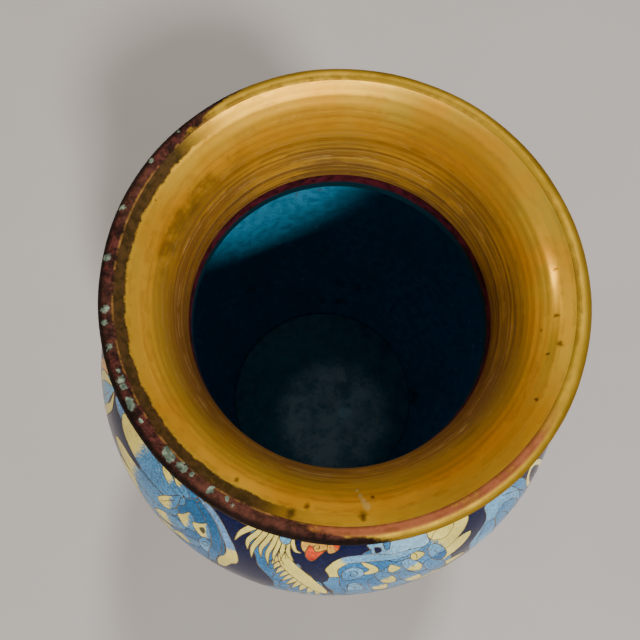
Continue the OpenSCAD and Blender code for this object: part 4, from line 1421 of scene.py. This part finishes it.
def funnel():
    """The spun neck: throat wall, flared funnel inside, its back hidden behind the enamel."""
    inner = [(THROAT_R, THROAT_LOW)]
    for i in range(9):
        inner.append((THROAT_R, THROAT_LOW + 0.4 + (THROAT_HIGH - 0.9 - THROAT_LOW) * i / 8))
    inner += [(THROAT_R - 0.12, THROAT_HIGH - 0.3), (THROAT_R - 0.1, THROAT_HIGH)]
    steps = 48
    for i in range(1, steps + 1):
        p = bend(FUNNEL, i / steps)
        ripple = 0.035 * math.sin(p.y * 3.1) + 0.02 * math.sin(p.y * 7.3)
        inner.append((p.x + ripple, p.y))
    tongue = [(BEAD.x - 1.5, HEIGHT - 3.4), (BEAD.x, HEIGHT - 3.4)]
    low, high = NECK_BACK
    outer = [tuple(skin(low + (high - low) * i / 12, ENAMEL_T)) for i in range(12, -1, -1)]
    foot = [(NECK_R - ENAMEL_T, THROAT_HIGH), (NECK_R - COPPER_IN, THROAT_HIGH),
            (NECK_R - COPPER_IN, THROAT_LOW)]
    return lathe(inner + tongue + outer + foot, 320)


def lining():
    """The turquoise layer inside, from the floor up to below the throat wall."""
    skirt = FLOOR_R + LINING_T
    low = FLOOR_TOP - 1.2
    outer = [(skirt, low), (skirt, FOOT_TOP)]
    outer += [tuple(skin(LINING_TOP * i / 60, COPPER_IN)) for i in range(61)]
    inner = [tuple(skin(LINING_TOP * i / 60, COPPER_IN + LINING_T)) for i in range(60, -1, -1)]
    inner += [(FLOOR_R, FOOT_TOP + 1), (FLOOR_R, low)]
    return lathe(outer + inner)


def foot():
    """The turned foot: moulded outside, flat ring to stand on, ledge for the base."""
    seat = skin(0, ENAMEL_T)
    top = skin(0, 0)
    low = span("foot_ring")[0].z
    ledge = span("base_enamel")[1].z
    cove = [bend((Vector((top.x + 0.6, 9.8)), Vector((top.x - 0.2, 6.4)),
                  Vector((FOOT_R - 0.5, 4.4))), i / 8) for i in range(9)]
    bead = [(FOOT_R - 0.5 + 0.5 * math.sin(math.pi * i / 8), 4.2 - 3.2 * i / 8) for i in range(9)]
    outline = [(seat.x, ledge), tuple(seat), tuple(top),
               (top.x + 0.5, top.y - 0.2), (top.x + 0.8, top.y - 0.8), (top.x + 0.8, 10.6)]
    outline += [tuple(p) for p in cove] + bead
    outline += [(FOOT_R - 1.2, low), (FOOT_R - 4.8, low), (RECESS_R + 1.4, 1.0),
                (RECESS_R + 0.4, 3.0), (RECESS_R, ledge)]
    return lathe(outline, 288)


keep("gilt_lip", lip(), LIP, "gilt", "lip_ring")
keep("gilt_funnel", funnel(), GILT, "gilt", "neck_shell")
keep("turquoise_lining", lining(), LINING, "turquoise_enamel", "lining_enamel")
keep("turquoise_floor", disc(FLOOR_R, span("floor_enamel")[0].z, FLOOR_TOP, dish=0.25), FLOOR,
     "turquoise_enamel", "floor_enamel")
keep("turquoise_base", disc(RECESS_R, RECESS_TOP, span("base_enamel")[1].z, rim=0.2), LINING,
     "turquoise_enamel", "base_enamel")
keep("turned_foot", foot(), RING, "gilt", "foot_ring")

for node in ("shoulder_shell", "lower_shell", "base_plate"):
    shell = frame["nodes"][node]
    shell.data.materials.clear()
    shell.data.materials.append(COPPER)

# ---------------------------------------------------------------- floor, light and camera


def stage():
    """A plain pale sheet under the vase."""
    n = Nodes("pale_floor")
    n.set(Base_Color=n.tones(n.noise(8, 2.0), "a9a39f", "b1aba7"), Roughness=0.8)
    size = 4.0
    corners = [(-size, -size, 0), (size, -size, 0), (size, size, 0), (-size, size, 0)]
    mesh = mesh_of("floor", corners, [(0, 1, 2, 3)])
    mesh.materials.append(n.material)
    floor = bpy.data.objects.new("floor", mesh)
    bpy.context.scene.collection.objects.link(floor)


WHITE_LIGHT = (1, 1, 1)
WARM_WHITE = (1, 0.98, 0.95)
GOLDEN = (1, 0.74, 0.36)


def lamp(name, azimuth, elevation, distance, size, power, colour=WHITE_LIGHT):
    """A soft square light aimed at the mouth, in metres; azimuth 0 is in front, 90 to the right."""
    data = bpy.data.lights.new(name, "AREA")
    data.size = size
    data.energy = power
    data.color = colour
    lit = bpy.data.objects.new(name, data)
    a, e = math.radians(azimuth - 90), math.radians(elevation)
    toward = Vector((math.cos(a) * math.cos(e), math.sin(a) * math.cos(e), math.sin(e)))
    lit.location = Vector((0, 0, HEIGHT * MM)) + toward * distance
    lit.rotation_euler = toward.to_track_quat("Z", "Y").to_euler()
    bpy.context.scene.collection.objects.link(lit)


def room():
    """The faint even light from all round."""
    world = bpy.data.worlds.new("studio")
    world.use_nodes = True
    colour, strength = world.node_tree.nodes["Background"].inputs[:2]
    colour.default_value = (1.0, 0.97, 0.95, 1)
    strength.default_value = 0.06
    bpy.context.scene.world = world


# The camera looks steeply down into the mouth from the front: its tilt below the horizon, its
# roll, its place from the middle of the mouth in millimetres, and its lens
TILT = math.radians(76.25)
ROLL = math.radians(5.4)
CAMERA_FROM_MOUTH = Vector((-6.0, -49.1, 159.0))
LENS = 36.45
SENSOR = 36


def camera():
    """The photograph's view."""
    forward = Vector((0, math.cos(TILT), -math.sin(TILT)))
    right = Vector((1, 0, 0))
    up = right.cross(forward)
    across = math.cos(ROLL) * right + math.sin(ROLL) * up
    upward = -math.sin(ROLL) * right + math.cos(ROLL) * up
    data = bpy.data.cameras.new("view")
    data.lens = LENS
    data.sensor_width = SENSOR
    data.clip_start = 0.01
    view = bpy.data.objects.new("view", data)
    turn = Matrix((across, upward, -forward)).transposed().to_4x4()
    view.matrix_world = Matrix.Translation((CAMERA_FROM_MOUTH + Vector((0, 0, HEIGHT))) * MM) @ turn
    bpy.context.scene.collection.objects.link(view)
    bpy.context.scene.camera = view


stage()
lamp("key", 28, 47, 1.5, 0.2, 30, WARM_WHITE)
lamp("back_key", 169, 57, 1.5, 0.2, 18, WARM_WHITE)
lamp("front_soft", -8, 28, 1.6, 0.9, 1.8)
lamp("left_soft", -100, 42, 1.6, 0.9, 3.0)
lamp("left_glint", -92, 22, 1.6, 0.12, 4.2, GOLDEN)
lamp("right_soft", 100, 36, 1.6, 0.8, 0.6)
room()
camera()
